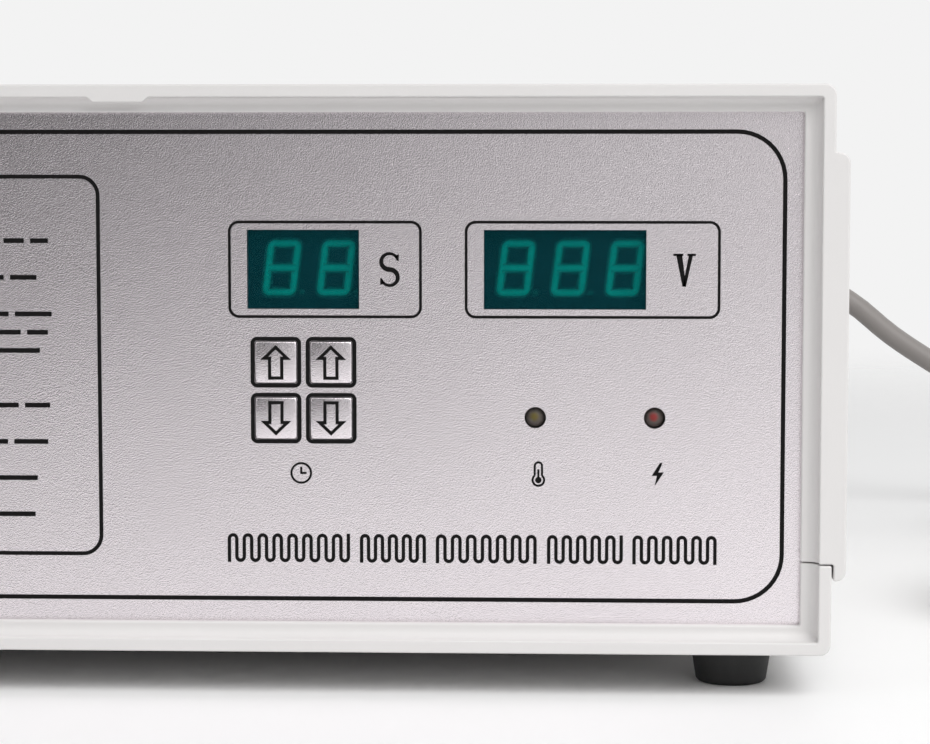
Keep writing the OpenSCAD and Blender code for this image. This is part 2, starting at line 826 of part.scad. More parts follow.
// Tinted window, flush with the film
module display_window(x, w) {
    color([0.0, 0.24, 0.26]) along_y(film_y, plate_back)
        translate([x, mid_z + display_z])
            square([w - 2 * window_gap, window_h - 2 * window_gap], center = true);
}

module time_window() { display_window(time_window_x, time_window_w); }
module volt_window() { display_window(volt_window_x, volt_window_w); }

// Seven-segment module behind a window
module display_module(x, w) {
    color([0.16, 0.17, 0.17]) along_y(plate_back, board_y)
        translate([x, mid_z + display_z])
            square([w + 2 * display_lap, window_h + 2 * display_lap], center = true);
}

module time_display() { display_module(time_window_x, time_window_w); }
module volt_display() { display_module(volt_window_x, volt_window_w); }

// Key cap with a domed face, a flange behind the plate and a stem into its switch
module panel_key(side, up) {
    place = key_place(side, up);
    face = film_y - key_proud;
    flange = key_size + 2 * key_flange_w;
    stem_end = board_y - tact_h + key_stem_in;
    color([0.72, 0.71, 0.72]) translate([place[0], 0, place[1]]) union() {
        intersection() {
            along_y(face - past, key_back) round_rect(key_size, key_size, key_r);
            translate([0, face + key_dome, 0]) sphere(r = key_dome, $fn = 96);
        }
        along_y(key_back, key_back + key_flange_t) square([flange, flange], center = true);
        along_y(key_back, stem_end) circle(d = key_stem_d);
    }
}

module tens_up_key() { panel_key(-1, 1); }
module units_up_key() { panel_key(1, 1); }
module tens_down_key() { panel_key(-1, -1); }
module units_down_key() { panel_key(1, -1); }

module key_switches() {
    bore_end = board_y - tact_floor;
    color([0.13, 0.13, 0.14]) for (c = corners) {
        place = key_place(c[0], c[1]);
        translate([place[0], 0, place[1]]) difference() {
            along_y(board_y - tact_h, board_y) square([tact_w, tact_w], center = true);
            along_y(board_y - tact_h - past, bore_end) circle(d = key_stem_d + 2 * stem_gap);
        }
    }
}

// Round lamp that points to the front, on two legs
module lamp(side, tint) {
    tip = film_y + lamp_sunk;
    foot_end = tip + lamp_len;
    leg = 0.5;
    color(tint) translate([lamp_x(side), 0, mid_z + lamp_z]) union() {
        translate([0, tip + lamp_d / 2, 0]) sphere(d = lamp_d);
        along_y(tip + lamp_d / 2, foot_end) circle(d = lamp_d);
        along_y(foot_end - lamp_flange_t, foot_end) circle(d = lamp_d + 2 * lamp_flange);
        for (s = [-1, 1]) along_y(foot_end - eps, board_y)
            translate([s * lamp_d / 4, 0]) square(leg, center = true);
    }
}

module heat_lamp() { lamp(-1, [0.45, 0.4, 0.15]); }
module current_lamp() { lamp(1, [0.55, 0.12, 0.12]); }

module control_board() {
    color([0.1, 0.35, 0.2]) along_y(board_y, board_y + board_t) translate([0, mid_z]) difference() {
        translate([board_left, board_low]) square([board_right - board_left, board_top - board_low]);
        for (x = board_screw_x, z = board_screw_z) translate([x, z]) circle(d = board_screw_d + pass_gap);
    }
}

module control_spacers() {
    color([0.78, 0.66, 0.35]) for (x = board_screw_x, z = board_screw_z)
        translate([x, 0, mid_z + z]) along_y(plate_back, board_y) difference() {
            circle(d = spacer_d);
            circle(d = board_screw_d + bite_gap);
        }
}

module board_screws() {
    color([0.7, 0.7, 0.72]) {
        for (x = board_screw_x, z = board_screw_z)
            translate([x, board_y + board_t, mid_z + z]) rotate([90, 0, 0])
                pan_screw(board_screw_d, board_head_d, board_head_h, board_t + board_screw_grip);
        for (p = power_screws)
            translate([p[0], p[1], board_face]) rotate([180, 0, 0])
                pan_screw(board_screw_d, board_head_d, board_head_h, board_t + board_screw_grip);
    }
}

// Places of the fan's four screws, from its middle
fan_holes = [for (c = corners) c * fan_hole_pitch / 2];

module rear_plate() {
    color([0.75, 0.75, 0.76]) translate([0, rear_out, mid_z]) rotate([-90, 0, 0])
        translate([0, 0, -plate_t]) linear_extrude(height = plate_t) difference() {
            square([plate_w, plate_h], center = true);
            translate([fan_x, 0]) circle(d = fan_bore);
            for (h = fan_holes) translate([fan_x + h[0], h[1]]) circle(d = fan_screw_d + pass_gap);
            translate([inlet_x, inlet_drop])
                square([inlet_body_w + pass_gap, inlet_body_h + pass_gap], center = true);
            for (s = [-1, 1])
                translate([inlet_x + s * inlet_pitch / 2, inlet_drop]) circle(d = inlet_screw_d + pass_gap);
            translate([inlet_x, -switch_rise])
                square([switch_body_w + pass_gap, switch_body_h + pass_gap], center = true);
            translate([fuse_x, inlet_drop]) circle(d = fuse_body_d + pass_gap);
            translate([boot_x, -boot_rise]) circle(d = boot_neck_d + pass_gap);
        }
}

module fan_frame() {
    arm_w = 4;
    back = -plate_t - fan_d;
    color([0.1, 0.1, 0.1]) at_rear(fan_x, mid_z) difference() {
        union() {
            translate([0, 0, back]) linear_extrude(height = fan_d) difference() {
                round_rect(fan_w, fan_w, (fan_w - fan_hole_pitch) / 2);
                circle(d = fan_bore);
            }
            translate([0, 0, back]) cylinder(d = fan_hub_d, h = motor_t);
            translate([0, 0, back]) linear_extrude(height = motor_t)
                for (a = [45, 135]) rotate(a) square([fan_bore + past, arm_w], center = true);
        }
        for (h = fan_holes) translate([h[0], h[1], back - past])
            cylinder(d = fan_screw_d + bite_gap, h = fan_d + 2 * past);
        translate([0, 0, back - past]) cylinder(d = shaft_d + shaft_gap, h = motor_t + 2 * past);
    }
}

module fan_rotor() {
    back = -plate_t - fan_d;
    motor_gap = 0.4;
    hub_sunk = 1;
    blade_in = 1;
    root = 2;
    shaft_in = 0.5;
    hub_low = back + motor_t + motor_gap;
    hub_h = fan_d - motor_t - motor_gap - hub_sunk;
    blade_low = hub_low + blade_in;
    blade_h = hub_h - 2 * blade_in;
    blade_r = fan_bore / 2 - blade_gap;
    color([0.13, 0.13, 0.14]) at_rear(fan_x, mid_z) union() {
        translate([0, 0, hub_low]) cylinder(d = fan_hub_d, h = hub_h);
        translate([0, 0, back + shaft_in]) cylinder(d = shaft_d, h = hub_low - back);
        intersection() {
            translate([0, 0, blade_low]) difference() {
                cylinder(r = blade_r, h = blade_h);
                translate([0, 0, -past]) cylinder(d = fan_hub_d - 2 * root, h = blade_h + 2 * past);
            }
            for (i = [0 : blade_count - 1])
                rotate(i * 360 / blade_count) translate([fan_hub_d / 2 - root, 0, blade_low + blade_h / 2])
                    rotate([blade_slant, 0, 0]) translate([0, -blade_t / 2, -fan_d])
                        cube([fan_w, blade_t, 2 * fan_d]);
        }
    }
}

module fan_guard() {
    inner = 7;
    outer = fan_bore / 2 - guard_ring_w;
    step = (outer - inner) / (guard_rings - 1);
    ear_d = fan_screw_head_d + 2;
    color([0.6, 0.6, 0.62]) at_rear(fan_x, mid_z) linear_extrude(height = guard_t) difference() {
        union() {
            for (i = [0 : guard_rings - 1]) difference() {
                circle(r = inner + i * step + guard_ring_w);
                circle(r = inner + i * step);
            }
            for (a = [45, 135]) rotate(a) difference() {
                square([fan_hole_pitch * sqrt(2), 1.5 * guard_ring_w], center = true);
                square([2 * inner, 2 * guard_ring_w], center = true);
            }
            for (h = fan_holes) translate(h) circle(d = ear_d);
        }
        for (h = fan_holes) translate(h) circle(d = fan_screw_d + pass_gap);
    }
}

module fan_screws() {
    color([0.7, 0.7, 0.72]) at_rear(fan_x, mid_z) for (h = fan_holes)
        translate([h[0], h[1], guard_t]) rotate([180, 0, 0])
            pan_screw(fan_screw_d, fan_screw_head_d, fan_screw_head_h, guard_t + plate_t + fan_screw_len);
}

// Outline of the inlet's pocket, with its two upper corners cut off
module inlet_pocket() {
    cut = 4;
    w = pocket_w / 2;
    h = pocket_h / 2;
    polygon([[-w, h], [w, h], [w, cut - h], [w - cut, -h], [cut - w, -h], [-w, cut - h]]);
}

module mains_inlet() {
    pin_fit = 0.1;
    color([0.1, 0.1, 0.1]) at_rear(inlet_x, inlet_z) difference() {
        union() {
            linear_extrude(height = inlet_flange_t) round_rect(inlet_w, inlet_h, inlet_r);
            translate([0, 0, -inlet_deep]) linear_extrude(height = inlet_deep + eps)
                square([inlet_body_w, inlet_body_h], center = true);
        }
        translate([0, 0, -pocket_deep])
            linear_extrude(height = pocket_deep + inlet_flange_t + past) inlet_pocket();
        for (p = pin_places) translate([p[0], p[1], -inlet_deep / 2])
            cube([pin_w + pin_fit, pin_h + pin_fit, inlet_deep + 2 * past], center = true);
        for (s = [-1, 1]) translate([s * inlet_pitch / 2, 0, -past])
            cylinder(d = inlet_screw_d + pass_gap, h = inlet_flange_t + 2 * past);
    }
}

module inlet_pins() {
    tail = 7;
    color([0.8, 0.78, 0.7]) at_rear(inlet_x, inlet_z) for (p = pin_places)
        translate([p[0] - pin_w / 2, p[1] - pin_h / 2, -inlet_deep - tail])
            cube([pin_w, pin_h, inlet_deep + tail]);
}

module inlet_screws() {
    nut_h = 2.4;
    nut_d = 6;
    tip = 2;
    len = inlet_flange_t + plate_t + nut_h + tip;
    color([0.7, 0.7, 0.72]) at_rear(inlet_x, inlet_z)
        for (s = [-1, 1]) translate([s * inlet_pitch / 2, 0, 0]) {
        translate([0, 0, inlet_flange_t]) rotate([180, 0, 0])
            pan_screw(inlet_screw_d, inlet_screw_head_d, inlet_screw_head_h, len);
        translate([0, 0, -plate_t - nut_h]) difference() {
            cylinder(d = nut_d, h = nut_h, $fn = 6);
            translate([0, 0, -past]) cylinder(d = inlet_screw_d + bite_gap, h = nut_h + 2 * past);
        }
    }
}

module switch_frame() {
    inside = [switch_body_w - 2 * switch_wall, switch_body_h - 2 * switch_wall];
    tab_h = 7;
    tab_w = 4.8;
    tab_t = 0.8;
    color([0.1, 0.1, 0.1]) at_rear(inlet_x, switch_z) union() {
        difference() {
            union() {
                linear_extrude(height = switch_flange_t) round_rect(switch_w, switch_h, switch_r);
                translate([0, 0, -switch_deep]) linear_extrude(height = switch_deep + eps)
                    square([switch_body_w, switch_body_h], center = true);
            }
            translate([0, 0, switch_floor - switch_deep])
                linear_extrude(height = switch_deep + switch_flange_t)
                    square(inside, center = true);
            translate([-switch_w, 0, -rocker_depth]) rotate([0, 90, 0])
                cylinder(d = pivot_d + pivot_gap, h = 2 * switch_w);
        }
        for (s = [-1, 1])
            translate([-tab_w / 2, s * switch_h / 5 - tab_t / 2, -switch_deep - tab_h])
                cube([tab_w, tab_t, tab_h + eps]);
    }
}

module power_rocker() {
    rise = rocker_half * tan(rocker_tilt);
    face = 3.6;
    low = -2;
    taper = 1.4;
    color([0.12, 0.12, 0.13]) at_rear(inlet_x, switch_z) translate([0, 0, -rocker_depth])
        rotate([rocker_tilt, 0, 0]) union() {
            along_x(-rocker_w / 2, rocker_w / 2)
                polygon([[-rocker_half, face + rise], [0, face], [rocker_half, face + rise],
                         [rocker_half - taper, low], [taper - rocker_half, low]]);
            translate([-switch_body_w / 2 + pivot_gap, 0, 0]) rotate([0, 90, 0])
                cylinder(d = pivot_d, h = switch_body_w - 2 * pivot_gap);
        }
}

module fuse_holder() {
    floor_t = 2;
    bore_end = -fuse_cap_in - fuse_len - 2 * fuse_end_gap;
    seat = -fuse_cap_in - fuse_cap_lift;
    color([0.1, 0.1, 0.1]) at_rear(fuse_x, inlet_z) difference() {
        union() {
            cylinder(d = fuse_flange_d, h = fuse_flange_t);
            translate([0, 0, bore_end - floor_t]) cylinder(d = fuse_body_d, h = floor_t - bore_end + eps);
        }
        translate([0, 0, seat])
            cylinder(d = fuse_shank_d + 2 * fuse_cap_gap, h = fuse_flange_t + past - seat);
        translate([0, 0, bore_end]) cylinder(d = fuse_d + 2 * fuse_side_gap, h = -bore_end);
    }
}

module fuse_cap() {
    cap_step = 1.5;
    cap_h = 6;
    coin_w = 1.6;
    coin_deep = 1.4;
    cap_low = fuse_flange_t + fuse_cap_lift;
    color([0.12, 0.12, 0.12]) at_rear(fuse_x, inlet_z) difference() {
        union() {
            translate([0, 0, cap_low]) cylinder(d = fuse_flange_d - 2 * cap_step, h = cap_h);
            translate([0, 0, -fuse_cap_in]) cylinder(d = fuse_shank_d, h = fuse_cap_in + cap_low + eps);
        }
        translate([-fuse_flange_d, -coin_w / 2, cap_low + cap_h - coin_deep])
            cube([2 * fuse_flange_d, coin_w, coin_deep + past]);
    }
}

module fuse() {
    color([0.8, 0.82, 0.83]) at_rear(fuse_x, inlet_z)
        translate([0, 0, -fuse_cap_in - fuse_end_gap - fuse_len]) cylinder(d = fuse_d, h = fuse_len);
}

// Tapered boot along +Z, with its neck in a wall that lies below the origin
module boot(wall_t) {
    flange_t = 2.5;
    flange_w = 2;
    lock_t = 2;
    lock_w = 1.5;
    lock_gap = 0.1;
    lock_low = -wall_t - lock_gap - lock_t;
    taper = boot_l - flange_t;
    ring_pitch = taper / (boot_rings + 1);
    ring_step = (boot_tip_d - boot_root_d) / (boot_rings + 1);
    ring_r = 0.7;
    color([0.3, 0.29, 0.28]) union() {
        translate([0, 0, lock_low]) cylinder(d = boot_neck_d + 2 * lock_w, h = lock_t);
        translate([0, 0, lock_low]) cylinder(d = boot_neck_d, h = flange_t - lock_low);
        cylinder(d = boot_root_d + 2 * flange_w, h = flange_t);
        translate([0, 0, flange_t - eps]) cylinder(d1 = boot_root_d, d2 = boot_tip_d, h = taper + eps);
        for (i = [1 : boot_rings])
            translate([0, 0, flange_t + i * ring_pitch - ring_r])
                cylinder(d = boot_root_d + i * ring_step + 2 * ring_r, h = 2 * ring_r);
    }
}

module case_boot() { at_rear(boot_x, boot_z) boot(plate_t); }

module power_board() {
    color([0.1, 0.35, 0.2]) translate([0, 0, board_z]) linear_extrude(height = board_t) difference() {
        translate([power_x, power_y]) square([power_w, power_l], center = true);
        for (p = power_screws) translate(p) circle(d = board_screw_d + pass_gap);
    }
}

module heat_sink() {
    fin_room = sink_w - sink_base - fin_t;
    color([0.72, 0.73, 0.75]) translate([sink_x - sink_w / 2, 0, board_face])
        along_y(sink_y - sink_l / 2, sink_y + sink_l / 2) {
            square([sink_w, sink_base]);
            translate([sink_w - sink_base, 0]) square([sink_base, sink_h]);
            for (i = [0 : fin_count - 1]) translate([i * fin_room / fin_count, 0]) square([fin_t, sink_h]);
        }
}

// Package of the given size on legs, against the heat sink's mounting wall
module wall_package(y, size, legs) {
    translate([sink_right, y, board_face + leg_h]) union() {
        translate([0, -size[1] / 2, 0]) cube(size);
        for (i = [0 : legs - 1])
            translate([size[0] / 2, (i - (legs - 1) / 2) * size[1] / (legs + 0.5), (eps - leg_h) / 2])
                cube([leg_w, leg_w, leg_h + eps], center = true);
    }
}

module transistors() {
    first = sink_y - sink_l / 2 + transistor_pitch / 2;
    color([0.14, 0.14, 0.15]) for (i = [0 : transistor_count - 1])
        wall_package(first + i * transistor_pitch, transistor, 3);
}

module rectifier_bridge() {
    last = sink_y + sink_l / 2 - rectifier[1] / 2 - package_gap;
    color([0.16, 0.16, 0.17]) wall_package(last, rectifier, 4);
}

module storage_capacitors() {
    color([0.1, 0.14, 0.3]) for (s = [-1, 1])
        translate([cap_x, power_y - cap_off + s * cap_pitch / 2, board_face]) difference() {
            cylinder(d = cap_d, h = cap_h);
            translate([0, 0, cap_h - vent_w]) for (a = [0, 90])
                rotate(a) translate([-cap_d / 3, -vent_w / 2, 0])
                    cube([2 * cap_d / 3, vent_w, vent_w + past]);
        }
}

module resonance_capacitors() {
    first = power_y - power_l / 2 + film_cap_in;
    pitch = film_cap[1] + film_cap_gap;
    color([0.85, 0.8, 0.62]) for (i = [0, 1])
        translate([film_cap_x - film_cap[0] / 2, first + i * pitch, board_face])
            cube([film_cap[0], film_cap[1], film_cap_h]);
}

module filter_choke() {
    ring_w = choke_d / 4;
    choke_y = power_y + power_l / 2 - choke_in - choke_d / 2;
    color([0.66, 0.36, 0.16]) translate([film_cap_x, choke_y, board_face])
        rotate_extrude() translate([choke_d / 2 - ring_w / 2, choke_h / 2])
            round_rect(ring_w, choke_h, choke_r);
}

module transformer_core() {
    color([0.35, 0.35, 0.37]) translate([core_x, 0, floor_z + core_h / 2])
        along_y(core_y - core_d / 2, core_y + core_d / 2) difference() {
            square([core_w, core_h], center = true);
            for (s = [-1, 1]) translate([s * (core_leg + core_window_w) / 2, 0])
                square([core_window_w, core_window_h], center = true);
        }
}

module transformer_winding() {
    out_w = core_leg + 2 * core_window_w - 2 * winding_gap;
    low = floor_z + core_h / 2 - core_window_h / 2 + winding_gap;
    color([0.8, 0.62, 0.2]) translate([core_x, core_y, low])
        linear_extrude(height = core_window_h - 2 * winding_gap) difference() {
            round_rect(out_w, winding_d, winding_r);
            square([core_leg + 2 * winding_gap, core_d + 2 * winding_gap], center = true);
        }
}

// Solid of the head's housing and grip, grown inwards by a wall
module head_solid(inset) {
    r = head_r - inset;
    top = head_h - inset;
    edge = head_edge_r - inset;
    low = inset > 0 ? -past : head_rim;
    gr = grip_r - inset;
    front = head_r / 2 + inset;
    end = grip_l - inset;
    end_r = grip_end_r - inset / 2;
    rotate_extrude() polygon(concat([[0, low], [r, low]],
        arc(r - edge, top - edge, edge, 0, 90, 8), [[0, top]]));
    translate([0, 0, grip_z]) rotate([-90, 0, 0]) rotate_extrude()
        polygon(concat([[0, front]], arc(gr - end_r, front + end_r, end_r, -90, 0, 6),
            arc(gr - end_r, end - end_r, end_r, 0, 90, 6), [[0, end]]));
}

// Hollow housing with its grip, before it is split
module head_hollow() {
    difference() {
        head_solid(0);
        head_solid(head_wall);
        translate([0, button_y, grip_z]) cylinder(d = button_d + 2 * button_gap, h = grip_d);
        translate([0, grip_l - head_wall - past, grip_z]) rotate([-90, 0, 0])
            cylinder(d = boot_neck_d + pass_gap, h = head_wall + 2 * past);
    }
}

module head_upper_shell() {
    color([0.9, 0.89, 0.87]) at_head() difference() {
        union() {
            intersection() {
                head_hollow();
                translate([-head_d, -head_d, grip_z]) cube([2 * head_d, 2 * head_d + grip_l, head_d]);
            }
            for (y = grip_screws)
                translate([0, y, grip_z]) cylinder(r = grip_boss_r, h = grip_r - head_wall / 2);
        }
        for (y = grip_screws) translate([0, y, grip_z - past])
            cylinder(d = grip_screw_d + bite_gap, h = past + grip_bite + bore_spare);
    }
}

module head_lower_shell() {
    color([0.9, 0.89, 0.87]) at_head() difference() {
        union() {
            intersection() {
                head_hollow();
                translate([-head_d, -head_d, 0]) cube([2 * head_d, 2 * head_d + grip_l, grip_z]);
            }
            translate([0, 0, face_t]) rotate_extrude()
                translate([head_in_r - lip_w, 0]) square([lip_w + head_wall / 2, lip_t]);
            for (y = grip_screws)
                translate([0, y, grip_z - grip_r + head_wall / 2])
                    cylinder(r = grip_boss_r, h = grip_r - head_wall / 2);
        }
        for (y = grip_screws) translate([0, y, 0]) {
            cylinder(d = grip_screw_d + pass_gap, h = grip_z + past);
            cylinder(d = grip_screw_head_d + pass_gap, h = grip_seat_z);
        }
    }
}

module sealing_face() {
    color([0.86, 0.82, 0.72]) at_head() cylinder(r = head_in_r - face_play, h = face_t);
}

module induction_coil() {
    color([0.72, 0.42, 0.2]) at_head() translate([0, 0, coil_z]) rotate_extrude()
        for (i = [0 : turn_count - 1]) translate([turn_start + i * turn_pitch, 0]) circle(d = wire_d);
}

module ferrite_bars() {
    color([0.2, 0.2, 0.22]) at_head() for (i = [0 : bar_count - 1])
        rotate(i * 360 / bar_count + 30) translate([turn_start, -bar_w / 2, bar_z])
            cube([turn_end - turn_start, bar_w, bar_t]);
}

module seal_button() {
    crown = grip_z + grip_r + button_proud;
    round_r = 1.5;
    stem_end = trigger_top - button_stem_in;
    color([0.75, 0.14, 0.12]) at_head() translate([0, button_y, 0]) union() {
        rotate_extrude() polygon(concat([[0, button_flange_z - eps], [button_d / 2, button_flange_z - eps]],
            arc(button_d / 2 - round_r, crown - round_r, round_r, 0, 90), [[0, crown]]));
        translate([0, 0, button_flange_z - button_flange_t])
            cylinder(r = button_flange_r, h = button_flange_t);
        translate([0, 0, stem_end]) cylinder(d = button_stem_d, h = button_flange_z - stem_end);
    }
}

module seal_switch() {
    bore_h = 6;
    color([0.13, 0.13, 0.14]) at_head() translate([0, button_y, 0]) difference() {
        translate([-trigger_w / 2, -trigger_l / 2, trigger_low])
            cube([trigger_w, trigger_l, trigger_top - trigger_low]);
        translate([0, 0, trigger_top - bore_h])
            cylinder(d = button_stem_d + 2 * stem_gap, h = bore_h + past);
    }
}

module grip_screws() {
    color([0.7, 0.7, 0.72]) at_head() for (y = grip_screws)
        translate([0, y, grip_seat_z])
            pan_screw(grip_screw_d, grip_screw_head_d, grip_screw_head_h, grip_seat + grip_bite);
}

module head_boot() {
    at_head() translate([0, grip_l, grip_z]) rotate([-90, 0, 0]) boot(head_wall);
}

// Point on a smooth curve through four route points, between the middle two
function curve_point(a, b, c, d, t) =
    0.5 * (2 * b + (c - a) * t + (2 * a - 5 * b + 4 * c - d) * t * t + (3 * b - a - 3 * c + d) * t * t * t);

// All points of the smooth curve along a route
function curve(route, steps) = let (n = len(route)) concat(
    [for (i = [0 : n - 2], k = [0 : steps - 1])
        curve_point(route[max(i - 1, 0)], route[i], route[i + 1], route[min(i + 2, n - 1)], k / steps)],
    [route[n - 1]]);

function unit(v) = v / norm(v);

// Ring of points round one point of a path, square to its direction
function tube_ring(path, i, r) = let (
    n = len(path),
    along = unit(path[min(i + 1, n - 1)] - path[max(i - 1, 0)]),
    across = unit(cross(along, [0, 0, 1])),
    up = cross(across, along))
    [for (k = [0 : tube_sides - 1])
        path[i] + r * (cos(k * 360 / tube_sides) * across + sin(k * 360 / tube_sides) * up)];

// Round cord swept along a route
module cord(route) {
    path = curve(route, tube_steps);
    n = len(path);
    s = tube_sides;
    points = [for (i = [0 : n - 1]) each tube_ring(path, i, cord_d / 2)];
    sides = [for (i = [0 : n - 2], k = [0 : s - 1])
        [i * s + k, i * s + (k + 1) % s, (i + 1) * s + (k + 1) % s, (i + 1) * s + k]];
    first = [for (k = [0 : s - 1]) s - 1 - k];
    last = [for (k = [0 : s - 1]) (n - 1) * s + k];
    faces = concat([first, last], sides);
    color([0.58, 0.56, 0.54]) polyhedron(points = points, faces = faces, convexity = 6);
}

module cord_lead() { cord(lead_route); }
module cord_tail() { cord(tail_route); }

module cord_coil() {
    color([0.58, 0.56, 0.54]) translate([coil_at[0], coil_at[1], 0])
        rotate_extrude() translate([coil_r, coil_high / 2]) round_rect(coil_wide, coil_high, cord_d / 2);
}

top_cover();
bottom_tray();
foot_front_left();
foot_front_right();
foot_rear_left();
foot_rear_right();
case_screws();
front_plate();
front_film();
panel_print();
time_window();
volt_window();
time_display();
volt_display();
tens_up_key();
units_up_key();
tens_down_key();
units_down_key();
key_switches();
heat_lamp();
current_lamp();
control_board();
control_spacers();
board_screws();
rear_plate();
fan_frame();
fan_rotor();
fan_guard();
fan_screws();
mains_inlet();
inlet_pins();
inlet_screws();
switch_frame();
power_rocker();
fuse_holder();
fuse_cap();
fuse();
case_boot();
power_board();
heat_sink();
transistors();
rectifier_bridge();
storage_capacitors();
resonance_capacitors();
filter_choke();
transformer_core();
transformer_winding();
head_upper_shell();
head_lower_shell();
sealing_face();
induction_coil();
ferrite_bars();
seal_button();
seal_switch();
grip_screws();
head_boot();
cord_lead();
cord_coil();
cord_tail();
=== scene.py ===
"""Dresses the frame of a bench-top induction cap sealer: finishes, print, displays, cord and stage."""

import math
import random

import bmesh
import bpy
from mathutils import Matrix, Vector


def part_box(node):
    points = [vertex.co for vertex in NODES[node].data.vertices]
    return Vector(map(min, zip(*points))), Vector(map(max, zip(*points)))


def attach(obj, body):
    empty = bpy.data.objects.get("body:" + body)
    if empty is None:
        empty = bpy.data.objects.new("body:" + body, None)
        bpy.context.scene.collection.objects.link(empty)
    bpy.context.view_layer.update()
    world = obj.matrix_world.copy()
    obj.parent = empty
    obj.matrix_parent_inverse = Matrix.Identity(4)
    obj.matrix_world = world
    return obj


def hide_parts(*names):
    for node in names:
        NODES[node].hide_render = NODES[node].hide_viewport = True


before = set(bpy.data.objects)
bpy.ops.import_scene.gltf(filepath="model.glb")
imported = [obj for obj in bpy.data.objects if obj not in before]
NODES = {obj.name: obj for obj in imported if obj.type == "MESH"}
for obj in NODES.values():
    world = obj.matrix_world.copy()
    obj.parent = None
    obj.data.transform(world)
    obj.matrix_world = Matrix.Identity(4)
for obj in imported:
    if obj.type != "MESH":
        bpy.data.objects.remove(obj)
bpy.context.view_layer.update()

bl_info = {
    "name": "Cap sealer dressing",
    "version": (1, 0, 0),
    "blender": (4, 5, 0),
    "location": "View3D > Sidebar > Sealer",
    "description": "Finishes, print, displays, cord and stage of a bench-top induction cap sealer",
    "category": "Object",
}

MM = 0.001
SHARP = math.radians(35)
ROUNDED = math.radians(38)
FLAT = math.radians(0.5)
DOUBLES = 0.001 * MM
WELD = 0.05 * MM
CLOUD = 35 * MM
KEYS = {"tens_up": 1, "units_up": 1, "tens_down": -1, "units_down": -1}


def linear(red, green, blue):
    """Scene-linear colour of a display colour whose parts run from 0 to 255."""
    parts = (red / 255, green / 255, blue / 255)
    return tuple(p / 12.92 if p <= 0.04045 else ((p + 0.055) / 1.055) ** 2.4 for p in parts)


def shade(colour, share):
    """A colour made darker or lighter by a share of itself."""
    return tuple(min(1.0, part * share) for part in colour)


def middle(node):
    """Middle of a CAD node's box at rest."""
    low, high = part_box(node)
    return (low + high) / 2


# Places that the frame gives
FILM_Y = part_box("front_film")[0].y
PANEL_Z = middle("front_film").z
MODULE_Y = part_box("time_display")[0].y
REAR_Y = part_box("rear_plate")[1].y


def colour_prop(name, description, default):
    """Property that holds one colour."""
    return bpy.props.FloatVectorProperty(
        name=name, description=description, subtype="COLOR", size=3, min=0, max=1, default=default)


def length_prop(name, description, default_mm):
    """Property that holds one length, given here in millimetres."""
    return bpy.props.FloatProperty(
        name=name, description=description, unit="LENGTH", precision=5, default=default_mm * MM)


class SEALER_PG_stage(bpy.types.PropertyGroup):
    """Camera, light and floor."""

    lens: bpy.props.FloatProperty(
        name="Lens", description="Focal length of the camera", unit="CAMERA", default=99.87)
    camera: bpy.props.FloatVectorProperty(
        name="Camera", description="Place of the camera", subtype="TRANSLATION",
        default=(0.1042, -0.7262, 0.12342))
    pitch: bpy.props.FloatProperty(
        name="Pitch", description="How far the camera looks down", unit="ROTATION",
        default=math.radians(4.585))
    yaw: bpy.props.FloatProperty(
        name="Yaw", description="How far the camera looks to the left", unit="ROTATION",
        default=math.radians(2.344))
    floor: colour_prop("Floor", "Colour of the floor", linear(248, 248, 248))
    backdrop: colour_prop("Backdrop", "Colour behind the object", linear(243, 243, 243))
    card: colour_prop("Card", "Colour of the dark end of the card that the film mirrors", linear(12, 12, 12))
    dome: bpy.props.FloatProperty(
        name="Dome", description="Strength of the light from all round", default=0.35)
    key: bpy.props.FloatProperty(
        name="Key light", description="Power of the soft light above", unit="POWER", default=19.7)
    fill: bpy.props.FloatProperty(
        name="Fill light", description="Power of the soft light in front", unit="POWER", default=3.2)
    back: bpy.props.FloatProperty(
        name="Back light", description="Power of the soft light behind", unit="POWER", default=2.2)


class SEALER_PG_case(bpy.types.PropertyGroup):
    """Case, feet and rear panel."""

    plastic: colour_prop("Plastic", "Colour of the moulded case", linear(218, 216, 215))
    rubber: colour_prop("Rubber", "Colour of the feet", linear(34, 34, 34))
    black: colour_prop("Black plastic", "Colour of the rear fittings", linear(28, 28, 29))
    metal: colour_prop("Sheet metal", "Colour of the rear plate", linear(188, 189, 192))
    soft: length_prop("Soft edge", "Width of the case's rounded edges", 0.45)


class SEALER_PG_panel(bpy.types.PropertyGroup):
    """Film, print, displays, keys and lamps."""

    film: colour_prop("Film", "Colour of the silver film", linear(243, 236, 240))
    ink: colour_prop("Ink", "Colour of the print", linear(11, 10, 10))
    tint: colour_prop("Tint", "Colour of the display windows", linear(0, 58, 64))
    segment: colour_prop("Segment", "Colour of an unlit display segment", linear(0, 208, 192))
    grain: length_prop("Grain", "Size of the film's grain", 0.28)
    ink_t: length_prop("Ink thickness", "Thickness of the print", 0.1)
    digit_h: length_prop("Digit height", "Height of a digit between its outer segments", 11.4)
    digit_w: length_prop("Digit width", "Width of a digit between its upright segments", 6.3)
    digit_pitch: length_prop("Digit pitch", "Distance between two digits", 12.68)
    segment_w: length_prop("Segment width", "Width of a segment with its soft edge", 3.0)
    slant: bpy.props.FloatProperty(
        name="Slant", description="Slant of the digits", unit="ROTATION", default=math.radians(7))
    mark_h: length_prop("Unit mark", "Height of a unit mark", 8.0)
    row_pitch: length_prop("Row pitch", "Distance between two rows of the instruction box", 4.28)
    row_h: length_prop("Row height", "Height of a word bar", 1.1)
    stroke: length_prop("Stroke", "Width of a pictogram's line", 0.5)


